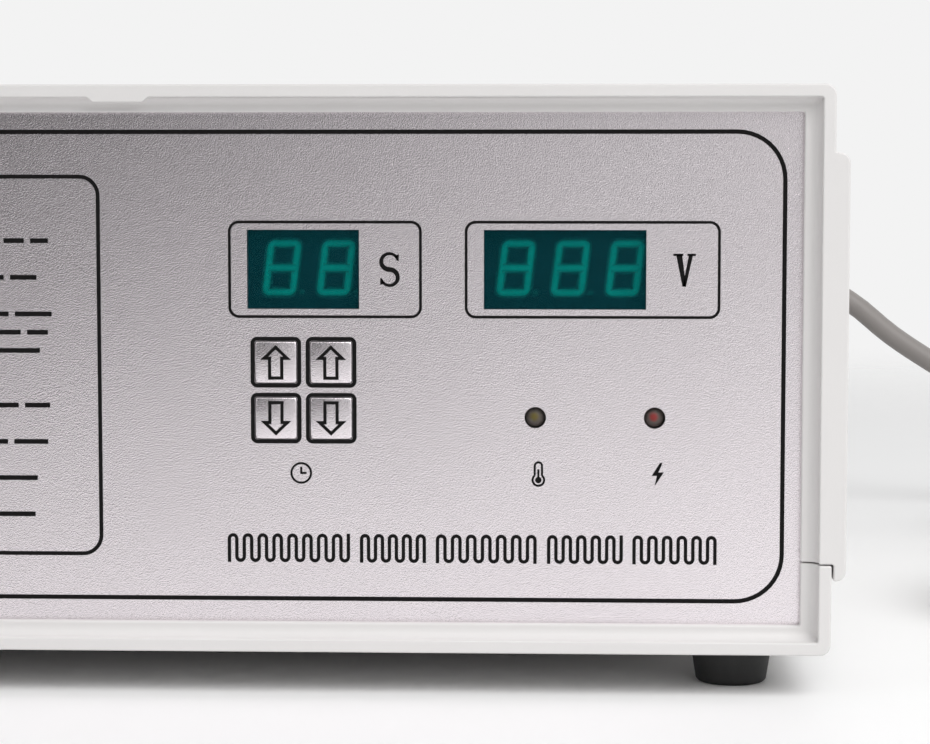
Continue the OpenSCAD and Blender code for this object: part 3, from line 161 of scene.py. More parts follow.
class SEALER_PG_head(bpy.types.PropertyGroup):
    """Sealing head and cord."""

    plastic: colour_prop("Plastic", "Colour of the head", linear(228, 225, 222))
    button: colour_prop("Button", "Colour of the button", linear(178, 30, 26))
    sheath: colour_prop("Sheath", "Colour of the cord", linear(141, 136, 133))
    cord_d: length_prop("Cord", "Diameter of the cord", 7.5)
    turn_pitch: length_prop("Turn pitch", "Distance between two turns of the coil", 7.6)
    strap_w: length_prop("Strap", "Width of the strap round the coil", 14.0)


class Sum:
    """Output of a shader node that Python's operators work on."""

    def __init__(self, nodes, socket):
        self.nodes = nodes
        self.socket = socket

    def math(self, operation, first, second=0.0):
        """Result of one Math node."""
        return self.nodes.node("ShaderNodeMath", {"operation": operation}, {0: first, 1: second})

    def __add__(self, other):
        return self.math("ADD", self, other)

    def __radd__(self, other):
        return self.math("ADD", other, self)

    def __sub__(self, other):
        return self.math("SUBTRACT", self, other)

    def __rsub__(self, other):
        return self.math("SUBTRACT", other, self)

    def __mul__(self, other):
        return self.math("MULTIPLY", self, other)

    def __rmul__(self, other):
        return self.math("MULTIPLY", other, self)

    def clamp(self):
        """The value, kept between 0 and 1."""
        return self.nodes.node("ShaderNodeClamp", None, {"Value": self})

    def step(self, low, high):
        """Smooth step from 0 at low to 1 at high."""
        return self.nodes.node(
            "ShaderNodeMapRange", {"interpolation_type": "SMOOTHSTEP"},
            {"Value": self, "From Min": low, "From Max": high})


class Nodes:
    """A shader node tree, and one way to add nodes to it."""

    def __init__(self, tree):
        self.tree = tree

    def fill(self, socket, value):
        """Links a socket to a sum, or gives it a constant."""
        if isinstance(value, Sum):
            self.tree.links.new(value.socket, socket)
        elif socket.type == "RGBA" and len(value) == 3:
            socket.default_value = (*value, 1.0)
        else:
            socket.default_value = value

    def node(self, kind, settings=None, inputs=None, output=0):
        """Adds a node, sets it up, fills its sockets and returns one of its outputs."""
        made = self.tree.nodes.new(kind)
        for name, value in (settings or {}).items():
            setattr(made, name, value)
        for name, value in (inputs or {}).items():
            self.fill(made.inputs[name], value)
        return Sum(self, made.outputs[output])


class Finish(Nodes):
    """A material in the making: its shader, and what feeds it."""

    def __init__(self, name, **constants):
        self.material = bpy.data.materials.new(name)
        self.material.use_nodes = True
        super().__init__(self.material.node_tree)
        self.shader = self.tree.nodes["Principled BSDF"]
        for socket, value in constants.items():
            self.set(socket.replace("_", " ").title(), value)

    def set(self, socket, value):
        """Fills a socket of the shader itself."""
        self.fill(self.shader.inputs[socket.replace("Ior", "IOR")], value)

    def place(self, shift=(0, 0, 0), scale=(1, 1, 1)):
        """Object coordinates, moved and scaled."""
        where = self.node("ShaderNodeTexCoord", output="Object")
        moved = self.node("ShaderNodeVectorMath", {"operation": "SUBTRACT"}, {0: where, 1: shift})
        return self.node("ShaderNodeVectorMath", {"operation": "MULTIPLY"}, {0: moved, 1: scale})

    def noise(self, size, detail=2.0, scale=(1, 1, 1)):
        """Cloudy noise from 0 to 1, with features of this size in metres."""
        inputs = {"Vector": self.place(scale=scale), "Scale": 1 / size, "Detail": detail}
        return self.node("ShaderNodeTexNoise", None, inputs)

    def parts(self, vector):
        """The three parts of a vector."""
        made = self.node("ShaderNodeSeparateXYZ", None, {"Vector": vector})
        return [Sum(self, socket) for socket in made.socket.node.outputs]

    def blend(self, factor, first, second):
        """Colour between two colours."""
        return self.node("ShaderNodeMix", {"data_type": "RGBA"}, {0: factor, 6: first, 7: second}, 2)

    def bump(self, height, depth):
        """Normal that follows a height from 0 to 1, times a depth in metres."""
        inputs = {"Height": height, "Distance": depth, "Strength": 1.0}
        self.set("Normal", self.node("ShaderNodeBump", None, inputs))


def moulded(name, colour, roughness, grain=0.3, depth=0.008, drift=0.05, metallic=0.0, scale=(1, 1, 1)):
    """Moulded, cast or drawn surface: fine grain, a slow drift of tone and a gloss that follows the grain."""
    finish = Finish(name, metallic=metallic)
    fine = finish.noise(grain * MM, 3.0, scale)
    slow = finish.noise(CLOUD)
    mask = ((fine - 0.5) * 0.9 + (slow - 0.5) * 1.2 + 0.5).clamp()
    finish.set("Base Color", finish.blend(mask, shade(colour, 1 - drift), shade(colour, 1 + drift)))
    finish.set("Roughness", ((fine - 0.5) * 0.25 + roughness).clamp())
    finish.bump(fine, depth * MM)
    return finish


def ink_finish(name, panel):
    """Matt screen-printed ink."""
    finish = moulded(name, panel.ink, 0.7, grain=0.25, depth=0.006, drift=0.2)
    finish.set("Specular IOR Level", 0.15)
    return finish


def film_finish(name, panel):
    """Silver film: bright flakes under a finely grained clear face."""
    finish = Finish(name, metallic=0.95)
    grain = finish.noise(panel.grain, 2.0)
    flake = finish.noise(0.2 * panel.grain, 1.0)
    slow = finish.noise(60 * MM)
    mask = ((grain - 0.5) * 2.4 + (flake - 0.5) * 0.8 + (slow - 0.5) * 0.5 + 0.5).clamp()
    finish.set("Base Color", finish.blend(mask, shade(panel.film, 0.92), shade(panel.film, 1.07)))
    finish.set("Roughness", ((flake - 0.5) * 0.15 + 0.22).clamp())
    finish.bump(grain, 0.065 * MM)
    return finish


def window_finish(name, panel):
    """Tinted window with the film's grain on its face."""
    finish = Finish(name, roughness=0.5, specular_ior_level=0.04)
    grain = finish.noise(panel.grain, 2.0)
    mask = ((grain - 0.5) * 1.8 + 0.5).clamp()
    finish.set("Base Color", finish.blend(mask, shade(panel.tint, 0.75), shade(panel.tint, 1.3)))
    finish.set("Alpha", ((grain - 0.5) * 0.4 + 0.3).clamp())
    finish.bump(grain, 0.02 * MM)
    return finish


def segment_finish(name, panel):
    """Unlit segment whose edge fades into its module."""
    finish = Finish(name, roughness=0.6, specular_ior_level=0.1)
    core = finish.node("ShaderNodeAttribute", {"attribute_name": "core"}, output="Fac")
    speck = finish.noise(0.5 * MM)
    finish.set("Base Color", finish.blend(speck, shade(panel.segment, 0.8), shade(panel.segment, 1.1)))
    finish.set("Alpha", core.step(0.0, 1.0) * 0.95)
    return finish


def lamp_finish(name, node, core, rim):
    """Lens of an unlit lamp: a coloured chip that shows through a smoky dome."""
    finish = Finish(name, roughness=0.5, specular_ior_level=0.2)
    centre, offset, chip = middle(node), 0.2 * MM, (0.4 * MM, 1.5 * MM)
    across = finish.parts(finish.place((centre.x - offset, 0, centre.z + offset)))
    reach = finish.node("ShaderNodeMath", {"operation": "SQRT"},
                        {0: across[0] * across[0] + across[2] * across[2]})
    speck = finish.noise(0.6 * MM)
    mask = ((speck - 0.5) * 0.5 + reach.step(*chip)).clamp()
    finish.set("Base Color", finish.blend(mask, core, rim))
    return finish


def brushed(name, colour, roughness, along):
    """Rolled or brushed metal, with its lines along one axis."""
    scale = tuple(0.03 if i == along else 1.0 for i in range(3))
    return moulded(name, colour, roughness, grain=0.35, depth=0.004, drift=0.1, metallic=1.0, scale=scale)


def lacquered(name, colour, coat=0.5):
    """Board or sleeve under clear lacquer."""
    finish = moulded(name, colour, 0.45, grain=0.8, depth=0.01, drift=0.12)
    finish.set("Coat Weight", coat)
    finish.set("Coat Roughness", 0.2)
    return finish


def dress(finish, *nodes):
    """Gives CAD nodes their finish."""
    for name in nodes:
        NODES[name].data.materials.clear()
        NODES[name].data.materials.append(finish.material)


def soften(width, segments, *nodes):
    """Rounds the sharp edges of CAD nodes, whose own meshes stay as they are."""
    for name in nodes:
        node = NODES[name]
        node.data.shade_smooth()
        weld = node.modifiers.new("Weld", "WELD")
        weld.merge_threshold = WELD
        flat = node.modifiers.new("Flat faces", "DECIMATE")
        flat.decimate_type = "DISSOLVE"
        flat.angle_limit = FLAT
        edge = node.modifiers.new("Soft edges", "BEVEL")
        edge.limit_method = "ANGLE"
        edge.angle_limit = ROUNDED
        edge.width = width
        edge.segments = segments
        edge.use_clamp_overlap = False
        edge.miter_outer = "MITER_ARC"
        node.modifiers.new("Weighted normals", "WEIGHTED_NORMAL")


def smooth(*nodes):
    """Shades CAD nodes smooth up to their sharp edges."""
    for name in nodes:
        NODES[name].data.shade_smooth()
        split = NODES[name].modifiers.new("Sharp edges", "EDGE_SPLIT")
        split.split_angle = SHARP


def round_edges(bm, edges, offset, segments):
    """Rounds edges of a piece in the making."""
    bmesh.ops.bevel(bm, geom=edges, offset=offset, offset_type="OFFSET", affect="EDGES",
                    segments=segments, profile=0.5, material=-1)


def settle(bm, name, body, finish):
    """Turns a bmesh into a finished piece that rides on a body."""
    bmesh.ops.remove_doubles(bm, verts=bm.verts, dist=DOUBLES)
    bmesh.ops.recalc_face_normals(bm, faces=bm.faces)
    mesh = bpy.data.meshes.new(name)
    bm.to_mesh(mesh)
    bm.free()
    mesh.shade_smooth()
    mesh.set_sharp_from_angle(angle=SHARP)
    mesh.materials.append(finish.material)
    piece = bpy.data.objects.new(name, mesh)
    bpy.context.scene.collection.objects.link(piece)
    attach(piece, body)
    return piece


def on_panel(x, z, y=FILM_Y):
    """Frame of a print on the panel: its x runs right, its y up and its z to the viewer."""
    return Matrix.Translation((x, y, z)) @ Matrix.Rotation(math.pi / 2, 4, "X")


def thicken(bm, faces, depth):
    """Gives flat faces a depth along their own +Z."""
    grown = bmesh.ops.extrude_face_region(bm, geom=faces)["geom"]
    verts = [v for v in grown if isinstance(v, bmesh.types.BMVert)]
    bmesh.ops.translate(bm, verts=verts, vec=(0, 0, depth))


def rectangle(bm, x, y, width, height):
    """Flat rectangle about a middle; returns its face."""
    grid = bmesh.ops.create_grid(bm, x_segments=1, y_segments=1, size=0.5)
    bmesh.ops.scale(bm, verts=grid["verts"], vec=(width, height, 1))
    bmesh.ops.translate(bm, verts=grid["verts"], vec=(x, y, 0))
    return grid["verts"][0].link_faces[0]


def outline(bm, points):
    """Flat face through a few points."""
    return bm.faces.new([bm.verts.new((x, y, 0)) for x, y in points])


class Pen:
    """Draws a flat line with extrude and spin."""

    def __init__(self, bm, x, y, heading, width):
        self.bm = bm
        self.at = Vector((x, y, 0))
        self.ahead = Vector((math.cos(heading), math.sin(heading), 0))
        side = self.side() * width / 2
        self.edge = bm.edges.new([bm.verts.new(self.at + side), bm.verts.new(self.at - side)])

    def side(self):
        """Direction to the left of the pen."""
        return Vector((-self.ahead.y, self.ahead.x, 0))

    def line(self, length):
        """Goes straight on."""
        grown = bmesh.ops.extrude_edge_only(self.bm, edges=[self.edge])["geom"]
        verts = [v for v in grown if isinstance(v, bmesh.types.BMVert)]
        bmesh.ops.translate(self.bm, verts=verts, vec=self.ahead * length)
        edges = [e for e in grown if isinstance(e, bmesh.types.BMEdge)]
        self.edge = next(e for e in edges if set(e.verts) == set(verts))
        self.at = self.at + self.ahead * length
        return self

    def swell(self, share):
        """Makes the line wider or narrower from here on."""
        bmesh.ops.scale(self.bm, verts=self.edge.verts[:], vec=(share, share, 1),
                        space=Matrix.Translation(-self.at))
        return self

    def bend(self, radius, angle, steps=12):
        """Goes round an arc, to the left for a positive angle."""
        centre = self.at + self.side() * math.copysign(radius, angle)
        spun = bmesh.ops.spin(self.bm, geom=[self.edge, *self.edge.verts], cent=centre, axis=(0, 0, 1),
                              dvec=(0, 0, 0), angle=angle, steps=steps, use_merge=False)
        self.edge = next(e for e in spun["geom_last"] if isinstance(e, bmesh.types.BMEdge))
        turn = Matrix.Rotation(angle, 3, "Z")
        self.at = centre + turn @ (self.at - centre)
        self.ahead = turn @ self.ahead
        return self


def ring(bm, x, y, radius, width, steps=32):
    """Flat ring of a given line width."""
    verts = [bm.verts.new((x + radius + side * width / 2, y, 0)) for side in (-1, 1)]
    edge = bm.edges.new(verts)
    bmesh.ops.spin(bm, geom=[edge, *verts], cent=(x, y, 0), axis=(0, 0, 1), dvec=(0, 0, 0),
                   angle=2 * math.pi, steps=steps, use_merge=True)


def disc(bm, x, y, radius):
    """Flat disc."""
    made = bmesh.ops.create_circle(bm, cap_ends=True, segments=24, radius=radius)
    bmesh.ops.translate(bm, verts=made["verts"], vec=(x, y, 0))


def print_piece(bm, name, place, panel, finish, body="case"):
    """Thickens a flat print, puts it on the panel and settles it."""
    bmesh.ops.recalc_face_normals(bm, faces=bm.faces)
    downward = [f for f in bm.faces if f.normal.z < 0]
    bmesh.ops.reverse_faces(bm, faces=downward)
    thicken(bm, list(bm.faces), panel.ink_t)
    bmesh.ops.transform(bm, matrix=place, verts=bm.verts)
    settle(bm, name, body, finish)


class SealerOperator(bpy.types.Operator):
    """Shared base of the sealer's operators."""

    bl_options = {"REGISTER", "UNDO"}


class SEALER_OT_stage(SealerOperator):
    """Sets up the camera, the floor, the backdrop and the lights"""

    bl_idname = "sealer.stage"
    bl_label = "Stage"

    SENSOR = 36
    # Name, property with the power, place, target and size of each soft light
    SOFTBOXES = (("Key", "key", (0.75, -1.0, 1.1), (0.05, -0.05, 0.06), (1.2, 1.0)),
                 ("Fill", "fill", (-0.9, -0.9, 0.8), (0.1, -0.1, 0.05), (0.9, 0.9)),
                 ("Back", "back", (0.45, 1.0, 0.9), (0.28, 0.25, 0.0), (0.8, 0.6)))
    FLOOR_HALF = 1.2
    FLOOR_FADE = (0.5, 1.1)
    CARD_SIZE = (4.2, 2.4, 1)
    CARD_AT = (0, -1.5, 0.96)
    CARD_TILT = math.radians(-72)
    CARD_FADE = (-0.45, 0.5)
    CARD_LIGHT = 0.76

    def execute(self, context):
        stage = context.scene.sealer_stage
        context.scene.view_settings.view_transform = "Standard"
        self.camera(context.scene, stage)
        self.world(context.scene, stage)
        self.card(stage)
        self.floor(stage)
        for name, power, place, target, size in self.SOFTBOXES:
            self.softbox(name, getattr(stage, power), place, target, size)
        return {"FINISHED"}

    def camera(self, scene, stage):
        """Camera at the photo's place."""
        lens = bpy.data.cameras.new("Camera")
        lens.lens = stage.lens
        lens.sensor_width = self.SENSOR
        camera = bpy.data.objects.new("Camera", lens)
        camera.location = stage.camera
        camera.rotation_euler = (math.pi / 2 - stage.pitch, 0, stage.yaw)
        scene.collection.objects.link(camera)
        scene.camera = camera

    def world(self, scene, stage):
        """Even light from all round, with a plain backdrop for what the camera and mirrors see."""
        world = bpy.data.worlds.new("Studio")
        world.use_nodes = True
        nodes = Nodes(world.node_tree)
        light = world.node_tree.nodes["Background"]
        nodes.fill(light.inputs["Color"], (1, 1, 1))
        nodes.fill(light.inputs["Strength"], stage.dome)
        seen = nodes.node("ShaderNodeBackground", None, {"Color": stage.backdrop})
        shown = nodes.node("ShaderNodeLightPath", output="Is Camera Ray")
        rays = shown.socket.node.outputs
        for kind in ("Is Glossy Ray", "Is Transmission Ray"):
            shown = shown.math("MAXIMUM", shown, Sum(nodes, rays[kind]))
        sources = {0: shown, 1: Sum(nodes, light.outputs[0]), 2: seen}
        mix = nodes.node("ShaderNodeMixShader", None, sources)
        nodes.fill(world.node_tree.nodes["World Output"].inputs["Surface"], mix)
        scene.world = world

    def floor(self, stage):
        """Floor that fades into the backdrop round the object."""
        finish = moulded("Floor", stage.floor, 0.6, grain=3.0, depth=0.01, drift=0.004)
        reach = finish.node("ShaderNodeVectorMath", {"operation": "LENGTH"}, {0: finish.place()}, "Value")
        finish.set("Alpha", 1.0 - reach.step(*self.FLOOR_FADE))
        bm = bmesh.new()
        bmesh.ops.create_grid(bm, x_segments=8, y_segments=8, size=self.FLOOR_HALF)
        self.show(bm, "Floor", finish)

    def card(self, stage):
        """Graduated card behind the camera, which the silver film mirrors."""
        finish = Finish("Card", roughness=0.9)
        along = finish.parts(finish.place())[0]
        mask = ((finish.noise(20 * MM) - 0.5) * 0.05 + along.step(*self.CARD_FADE)).clamp()
        finish.set("Base Color", finish.blend(mask, stage.card, shade(stage.backdrop, self.CARD_LIGHT)))
        bm = bmesh.new()
        bmesh.ops.create_grid(bm, x_segments=4, y_segments=4, size=0.5)
        bmesh.ops.scale(bm, verts=bm.verts, vec=self.CARD_SIZE)
        place = Matrix.Translation(self.CARD_AT) @ Matrix.Rotation(self.CARD_TILT, 4, "X")
        bmesh.ops.transform(bm, matrix=place, verts=bm.verts)
        self.show(bm, "Card", finish).visible_camera = False

    def show(self, bm, name, finish):
        """Adds a piece of the stage."""
        mesh = bpy.data.meshes.new(name)
        bm.to_mesh(mesh)
        bm.free()
        mesh.materials.append(finish.material)
        piece = bpy.data.objects.new(name, mesh)
        bpy.context.scene.collection.objects.link(piece)
        return piece

    def softbox(self, name, power, place, target, size):
        """Soft light that faces a target."""
        lamp = bpy.data.lights.new(name, "AREA")
        lamp.shape = "RECTANGLE"
        lamp.size, lamp.size_y = size
        lamp.energy = power
        light = bpy.data.objects.new(name, lamp)
        light.location = place
        light.rotation_euler = (Vector(target) - Vector(place)).to_track_quat("-Z", "Y").to_euler()
        bpy.context.scene.collection.objects.link(light)


class SEALER_OT_cord(SealerOperator):
    """Lays the head's cord from the rear boot, through its coil, to the head"""

    bl_idname = "sealer.cord"
    bl_label = "Cord"

    # Route points in metres: from the rear boot to the coil, and from the coil to the head
    LEAD = ((0.125, 0.159, 0.09115), (0.125, 0.164, 0.09115), (0.125, 0.169, 0.09115),
            (0.128, 0.181, 0.0911), (0.137, 0.1925, 0.0908), (0.15, 0.1995, 0.0902), (0.166, 0.2015, 0.0888),
            (0.184, 0.2015, 0.0854), (0.204, 0.201, 0.0748), (0.219, 0.201, 0.0628),
            (0.234, 0.201, 0.0529), (0.252, 0.201, 0.042), (0.272, 0.201, 0.0302),
            (0.294, 0.201, 0.0184), (0.318, 0.201, 0.0112))
    TAIL = ((0.271, 0.2445, 0.00375), (0.271, 0.236, 0.0039), (0.271, 0.226, 0.0053),
            (0.271, 0.214, 0.009), (0.271, 0.202, 0.0138), (0.271, 0.191, 0.0182),
            (0.271, 0.182, 0.0212), (0.271, 0.175, 0.022), (0.271, 0.17, 0.022),
            (0.271, 0.1654, 0.022))
    COIL = (0.318, 0.2445)
    TURNS = 4.75
    TOP_TURNS = 2.0
    DROP_TURNS = 0.35
    POINTS_PER_TURN = 20
    STRAP_ANGLE = math.radians(40)
    STRAP_T = 0.9 * MM
    STRAP_BEND = 2.6 * MM
    STRAP_SLACK = 1.2 * MM

    def coil_points(self, head):
        """Turns of the coil: inwards on the upper layer, then outwards on the bench."""
        low = head.cord_d / 2
        high = low + head.cord_d
        first = self.COIL[1] - self.LEAD[-1][1]
        last = self.COIL[0] - self.TAIL[0][0]
        points = []
        for i in range(1, round(self.TURNS * self.POINTS_PER_TURN)):
            turn = i / self.POINTS_PER_TURN
            angle = 2 * math.pi * turn - math.pi / 2
            inward = first - head.turn_pitch * min(turn, self.TOP_TURNS)
            outward = last - head.turn_pitch * (self.TURNS - turn)
            down = min(max((turn - self.TOP_TURNS) / self.DROP_TURNS, 0), 1)
            down = down * down * (3 - 2 * down)
            radius = inward + (outward - inward) * down if turn > self.TOP_TURNS else inward
            points.append((self.COIL[0] + radius * math.cos(angle), self.COIL[1] + radius * math.sin(angle),
                           high + (low - high) * down))
        return points

    def execute(self, context):
        head = context.scene.sealer_head
        finish = moulded("cord_sheath", head.sheath, 0.5, grain=0.5, depth=0.012, drift=0.06)
        points = [*self.LEAD, *self.coil_points(head), *self.TAIL]
        line = bpy.data.curves.new("head_cord", "CURVE")
        line.dimensions = "3D"
        line.bevel_depth = head.cord_d / 2
        line.bevel_resolution = 5
        line.resolution_u = 4
        line.use_fill_caps = True
        spline = line.splines.new("BEZIER")
        spline.bezier_points.add(len(points) - 1)
        for knot, point in zip(spline.bezier_points, points):
            knot.co = point
            knot.handle_left_type = knot.handle_right_type = "AUTO"
        line.materials.append(finish.material)
        cord = bpy.data.objects.new("head_cord", line)
        context.scene.collection.objects.link(cord)
        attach(cord, "case")
        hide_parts("cord_lead", "cord_coil", "cord_tail")
        strap = self.strap(context.scene)
        return {"FINISHED"}

    def strap(self, scene):
        """Strap with a folded-over end that holds the coil together."""
        head = scene.sealer_head
        finish = moulded("strap_weave", linear(40, 40, 42), 0.85, grain=0.6, depth=0.08, drift=0.25)
        share = 0.25 + self.STRAP_ANGLE / (2 * math.pi)
        outer = self.COIL[0] - self.TAIL[0][0] - head.turn_pitch * (self.TURNS - 4 - share)
        inner = outer - 2 * head.turn_pitch
        wide = outer - inner + head.cord_d + self.STRAP_SLACK
        high = 2 * head.cord_d + self.STRAP_SLACK
        bm = bmesh.new()
        bmesh.ops.create_cube(bm, size=1)
        bmesh.ops.scale(bm, verts=bm.verts, vec=(wide, head.strap_w, high))
        top = [v for v in bm.verts if v.co.z > 0]
        bmesh.ops.scale(bm, verts=top, vec=(0.72, 1, 1))
        ends = [f for f in bm.faces if abs(f.normal.y) > 0.5]
        bmesh.ops.delete(bm, geom=ends, context="FACES_ONLY")
        long_edges = [e for e in bm.edges if abs(e.verts[0].co.y - e.verts[1].co.y) > MM]
        round_edges(bm, long_edges, self.STRAP_BEND, 5)
        bmesh.ops.recalc_face_normals(bm, faces=bm.faces)
        bmesh.ops.solidify(bm, geom=bm.faces, thickness=-self.STRAP_T)
        rim = [e for e in bm.edges if e.calc_face_angle(0) > 1.0]
        round_edges(bm, rim, 0.25 * MM, 2)
        lap = bmesh.ops.create_cube(bm, size=1)["verts"]
        bmesh.ops.scale(bm, verts=lap, vec=(0.45 * wide, 0.98 * head.strap_w, self.STRAP_T))
        bmesh.ops.translate(bm, verts=lap, vec=(0.03 * wide, 0, high / 2 + self.STRAP_T))
        lap_edges = {e for v in lap for e in v.link_edges}
        round_edges(bm, list(lap_edges), 0.3 * MM, 2)
        reach = (inner + outer) / 2
        place = (Matrix.Translation((*self.COIL, 0)) @ Matrix.Rotation(self.STRAP_ANGLE, 4, "Z")
                 @ Matrix.Translation((reach, 0, high / 2 + self.STRAP_T)))
        bmesh.ops.transform(bm, matrix=place, verts=bm.verts)
        return settle(bm, "cord_strap", "case", finish)


class SEALER_OT_case(SealerOperator):
    """Finishes the case, its feet and its screws"""

    bl_idname = "sealer.case"
    bl_label = "Case"

    def execute(self, context):
        case = context.scene.sealer_case
        plastic = moulded("case_plastic", case.plastic, 0.42, grain=0.5, depth=0.006, drift=0.015)
        rubber = moulded("foot_rubber", case.rubber, 0.68, grain=0.4, depth=0.03, drift=0.2)
        steel = brushed("screw_steel", linear(176, 176, 180), 0.32, 2)
        feet = [name for name in NODES if name.startswith("foot_")]
        dress(plastic, "top_cover", "bottom_tray")
        dress(rubber, *feet)
        dress(steel, "case_screws", "board_screws", "fan_screws", "inlet_screws", "grip_screws")
        soften(case.soft, 4, "top_cover", "bottom_tray")
        soften(0.35 * MM, 3, *feet)
        soften(0.2 * MM, 2, "case_screws", "fan_screws", "inlet_screws", "grip_screws")
        return {"FINISHED"}


class SEALER_OT_panel(SealerOperator):
    """Finishes the silver film and the printed lines"""

    bl_idname = "sealer.panel"
    bl_label = "Front panel"

    def execute(self, context):
        panel = context.scene.sealer_panel
        dress(film_finish("panel_film", panel), "front_film")
        dress(ink_finish("panel_ink", panel), "panel_print")
        return {"FINISHED"}


class SEALER_OT_print(SealerOperator):
    """Prints the instruction rows, the unit marks, the pictograms and the winding row"""

    bl_idname = "sealer.print"
    bl_label = "Print"

    # Places from the panel's middle
    BOX_LEFT, BOX_RIGHT = -133 * MM, -17.5 * MM
    HEADING_Z = 37.5 * MM
    FIRST_ROW = 29.7 * MM
    SECOND_AT = (62.2 * MM, 23.1 * MM)
    VOLT_AT = (130.5 * MM, 23.05 * MM)
    CLOCK_X = 41.4 * MM
    THERMOMETER_X = 96.85 * MM
    BOLT_X = 124.6 * MM
    PICTOGRAM_Z = -24.5 * MM
    WINDING_Z = -42.2 * MM
    # Rows in each paragraph, and the two ends of each group of windings in millimetres
    PARAGRAPHS = (2, 2, 4, 1, 2, 2, 2, 2)
    WINDINGS = ((24.0, 52.8), (55.1, 70.6), (72.9, 96.5), (98.9, 116.6), (118.8, 138.4))

    def execute(self, context):
        panel = context.scene.sealer_panel
        ink = ink_finish("print_ink", panel)
        self.rows(panel, ink)
        self.second_mark(panel, ink)
        self.volt_mark(panel, ink)
        self.clock(panel, ink)
        self.thermometer(panel, ink)
        self.bolt(panel, ink)
        self.windings(panel, ink)
        return {"FINISHED"}

    def rows(self, panel, ink):
        """Rows of word bars, with a short last row in each paragraph."""
        chance = random.Random(11)
        gap, shortest = 1.5 * MM, 3 * MM
        width = self.BOX_RIGHT - self.BOX_LEFT
        bm = bmesh.new()
        row = 0
        for count in self.PARAGRAPHS:
            for i in range(count):
                last = i == count - 1
                end = self.BOX_LEFT + width * (chance.uniform(0.3, 0.7) if last else 1.0)
                end += 0 if last else chance.uniform(-0.8, 0.8) * MM
                x = self.BOX_LEFT
                z = self.FIRST_ROW - row * panel.row_pitch
                while x < end - shortest:
                    word = min(chance.uniform(4.0, 12.0) * MM, end - x)
                    rectangle(bm, x + word / 2, z, word, panel.row_h)
                    x += word + gap
                row += 1
        rectangle(bm, (self.BOX_LEFT + self.BOX_RIGHT) / 2, self.HEADING_Z, 34 * MM, 2.2 * MM)
        print_piece(bm, "instruction_rows", on_panel(0, PANEL_Z), panel, ink)

    def second_mark(self, panel, ink):
        """Unit mark of the time display: an S with two spurs."""
        thin, growth, steps = 0.6 * MM, 1.038, 18
        start, sweep = math.radians(28), math.radians(242)
        spur = ((0.45, 0.9), (0.45, -0.75), (-0.05, -0.6), (-0.45, 0.5))
        bowl = (panel.mark_h - thin) / 4
        tip = Vector((bowl * math.cos(start), bowl + bowl * math.sin(start)))
        bm = bmesh.new()
        pen = Pen(bm, tip.x, tip.y, start + math.pi / 2, thin)
        for way in (1, -1):
            for _ in range(steps):
                pen.bend(bowl, way * sweep / steps, 1).swell(growth ** way)
        for side in (-1, 1):
            outline(bm, [(side * (tip.x + x * MM), side * (tip.y + y * MM)) for x, y in spur])
        bmesh.ops.scale(bm, verts=bm.verts, vec=(1.04, 1, 1))
        print_piece(bm, "second_mark", on_panel(self.SECOND_AT[0], PANEL_Z + self.SECOND_AT[1]), panel, ink)

    def volt_mark(self, panel, ink):
        """Unit mark of the voltage display: a V with a thick and a thinner leg."""
        # In millimetres
        half, thick, thin, bar = 2.0, 1.4, 0.95, 0.5
        top = panel.mark_h / MM / 2 - 0.2
        bm = bmesh.new()
        shapes = ([(-half, top), (-0.45, -top), (0.4, -top), (thick - half, top)],
                  [(half - thin, top), (-0.4, -top), (0.35, -top), (half, top)],
                  [(-half - 0.6, top), (-half - 0.6, top - bar), (thick - half + 0.3, top - bar),
                   (thick - half + 0.3, top)],
                  [(half - thin - 0.4, top), (half - thin - 0.4, top - bar), (half + 0.6, top - bar),
                   (half + 0.6, top)])
        for shape in shapes:
            outline(bm, [(x * MM, z * MM) for x, z in shape])
        print_piece(bm, "volt_mark", on_panel(self.VOLT_AT[0], PANEL_Z + self.VOLT_AT[1]), panel, ink)

    def clock(self, panel, ink):
        """Clock face under the keys."""
        radius, long_hand, short_hand, past = 2.3 * MM, 1.6 * MM, 1.4 * MM, 0.15 * MM
        bm = bmesh.new()
        ring(bm, 0, 0, radius, panel.stroke)
        rectangle(bm, 0, long_hand / 2 - past, panel.stroke, long_hand)
        rectangle(bm, short_hand / 2 - past, 0, short_hand, panel.stroke)
        print_piece(bm, "time_sign", on_panel(self.CLOCK_X, PANEL_Z + self.PICTOGRAM_Z), panel, ink)

    def thermometer(self, panel, ink):
        """Thermometer under the heat lamp."""
        bm = bmesh.new()
        tube, bulb, top = 0.85 * MM, 1.35 * MM, 1.9 * MM
        open_angle = math.asin(tube / bulb)
        drop = -1.4 * MM
        low = drop + bulb * math.cos(open_angle)
        pen = Pen(bm, tube, low, math.pi / 2, panel.stroke)
        pen.line(top - low).bend(tube, math.pi, 10).line(top - low)
        outer = Pen(bm, -tube, low, math.pi + open_angle, panel.stroke)
        outer.bend(bulb, 2 * math.pi - 2 * open_angle, 20)
        disc(bm, 0, drop, 0.75 * MM)
        rectangle(bm, 0, 0.1 * MM, panel.stroke, 2.0 * MM)
        print_piece(bm, "heat_sign", on_panel(self.THERMOMETER_X, PANEL_Z + self.PICTOGRAM_Z), panel, ink)

    def bolt(self, panel, ink):
        """Lightning flash under the current lamp."""
        bm = bmesh.new()
        points = ((0.5, 2.7), (-1.4, -0.3), (-0.2, -0.3), (-0.7, -2.7),
                  (1.4, 0.5), (0.15, 0.5), (1.1, 2.7))
        outline(bm, [(x * MM, z * MM) for x, z in points])
        print_piece(bm, "current_sign", on_panel(self.BOLT_X, PANEL_Z + self.PICTOGRAM_Z), panel, ink)

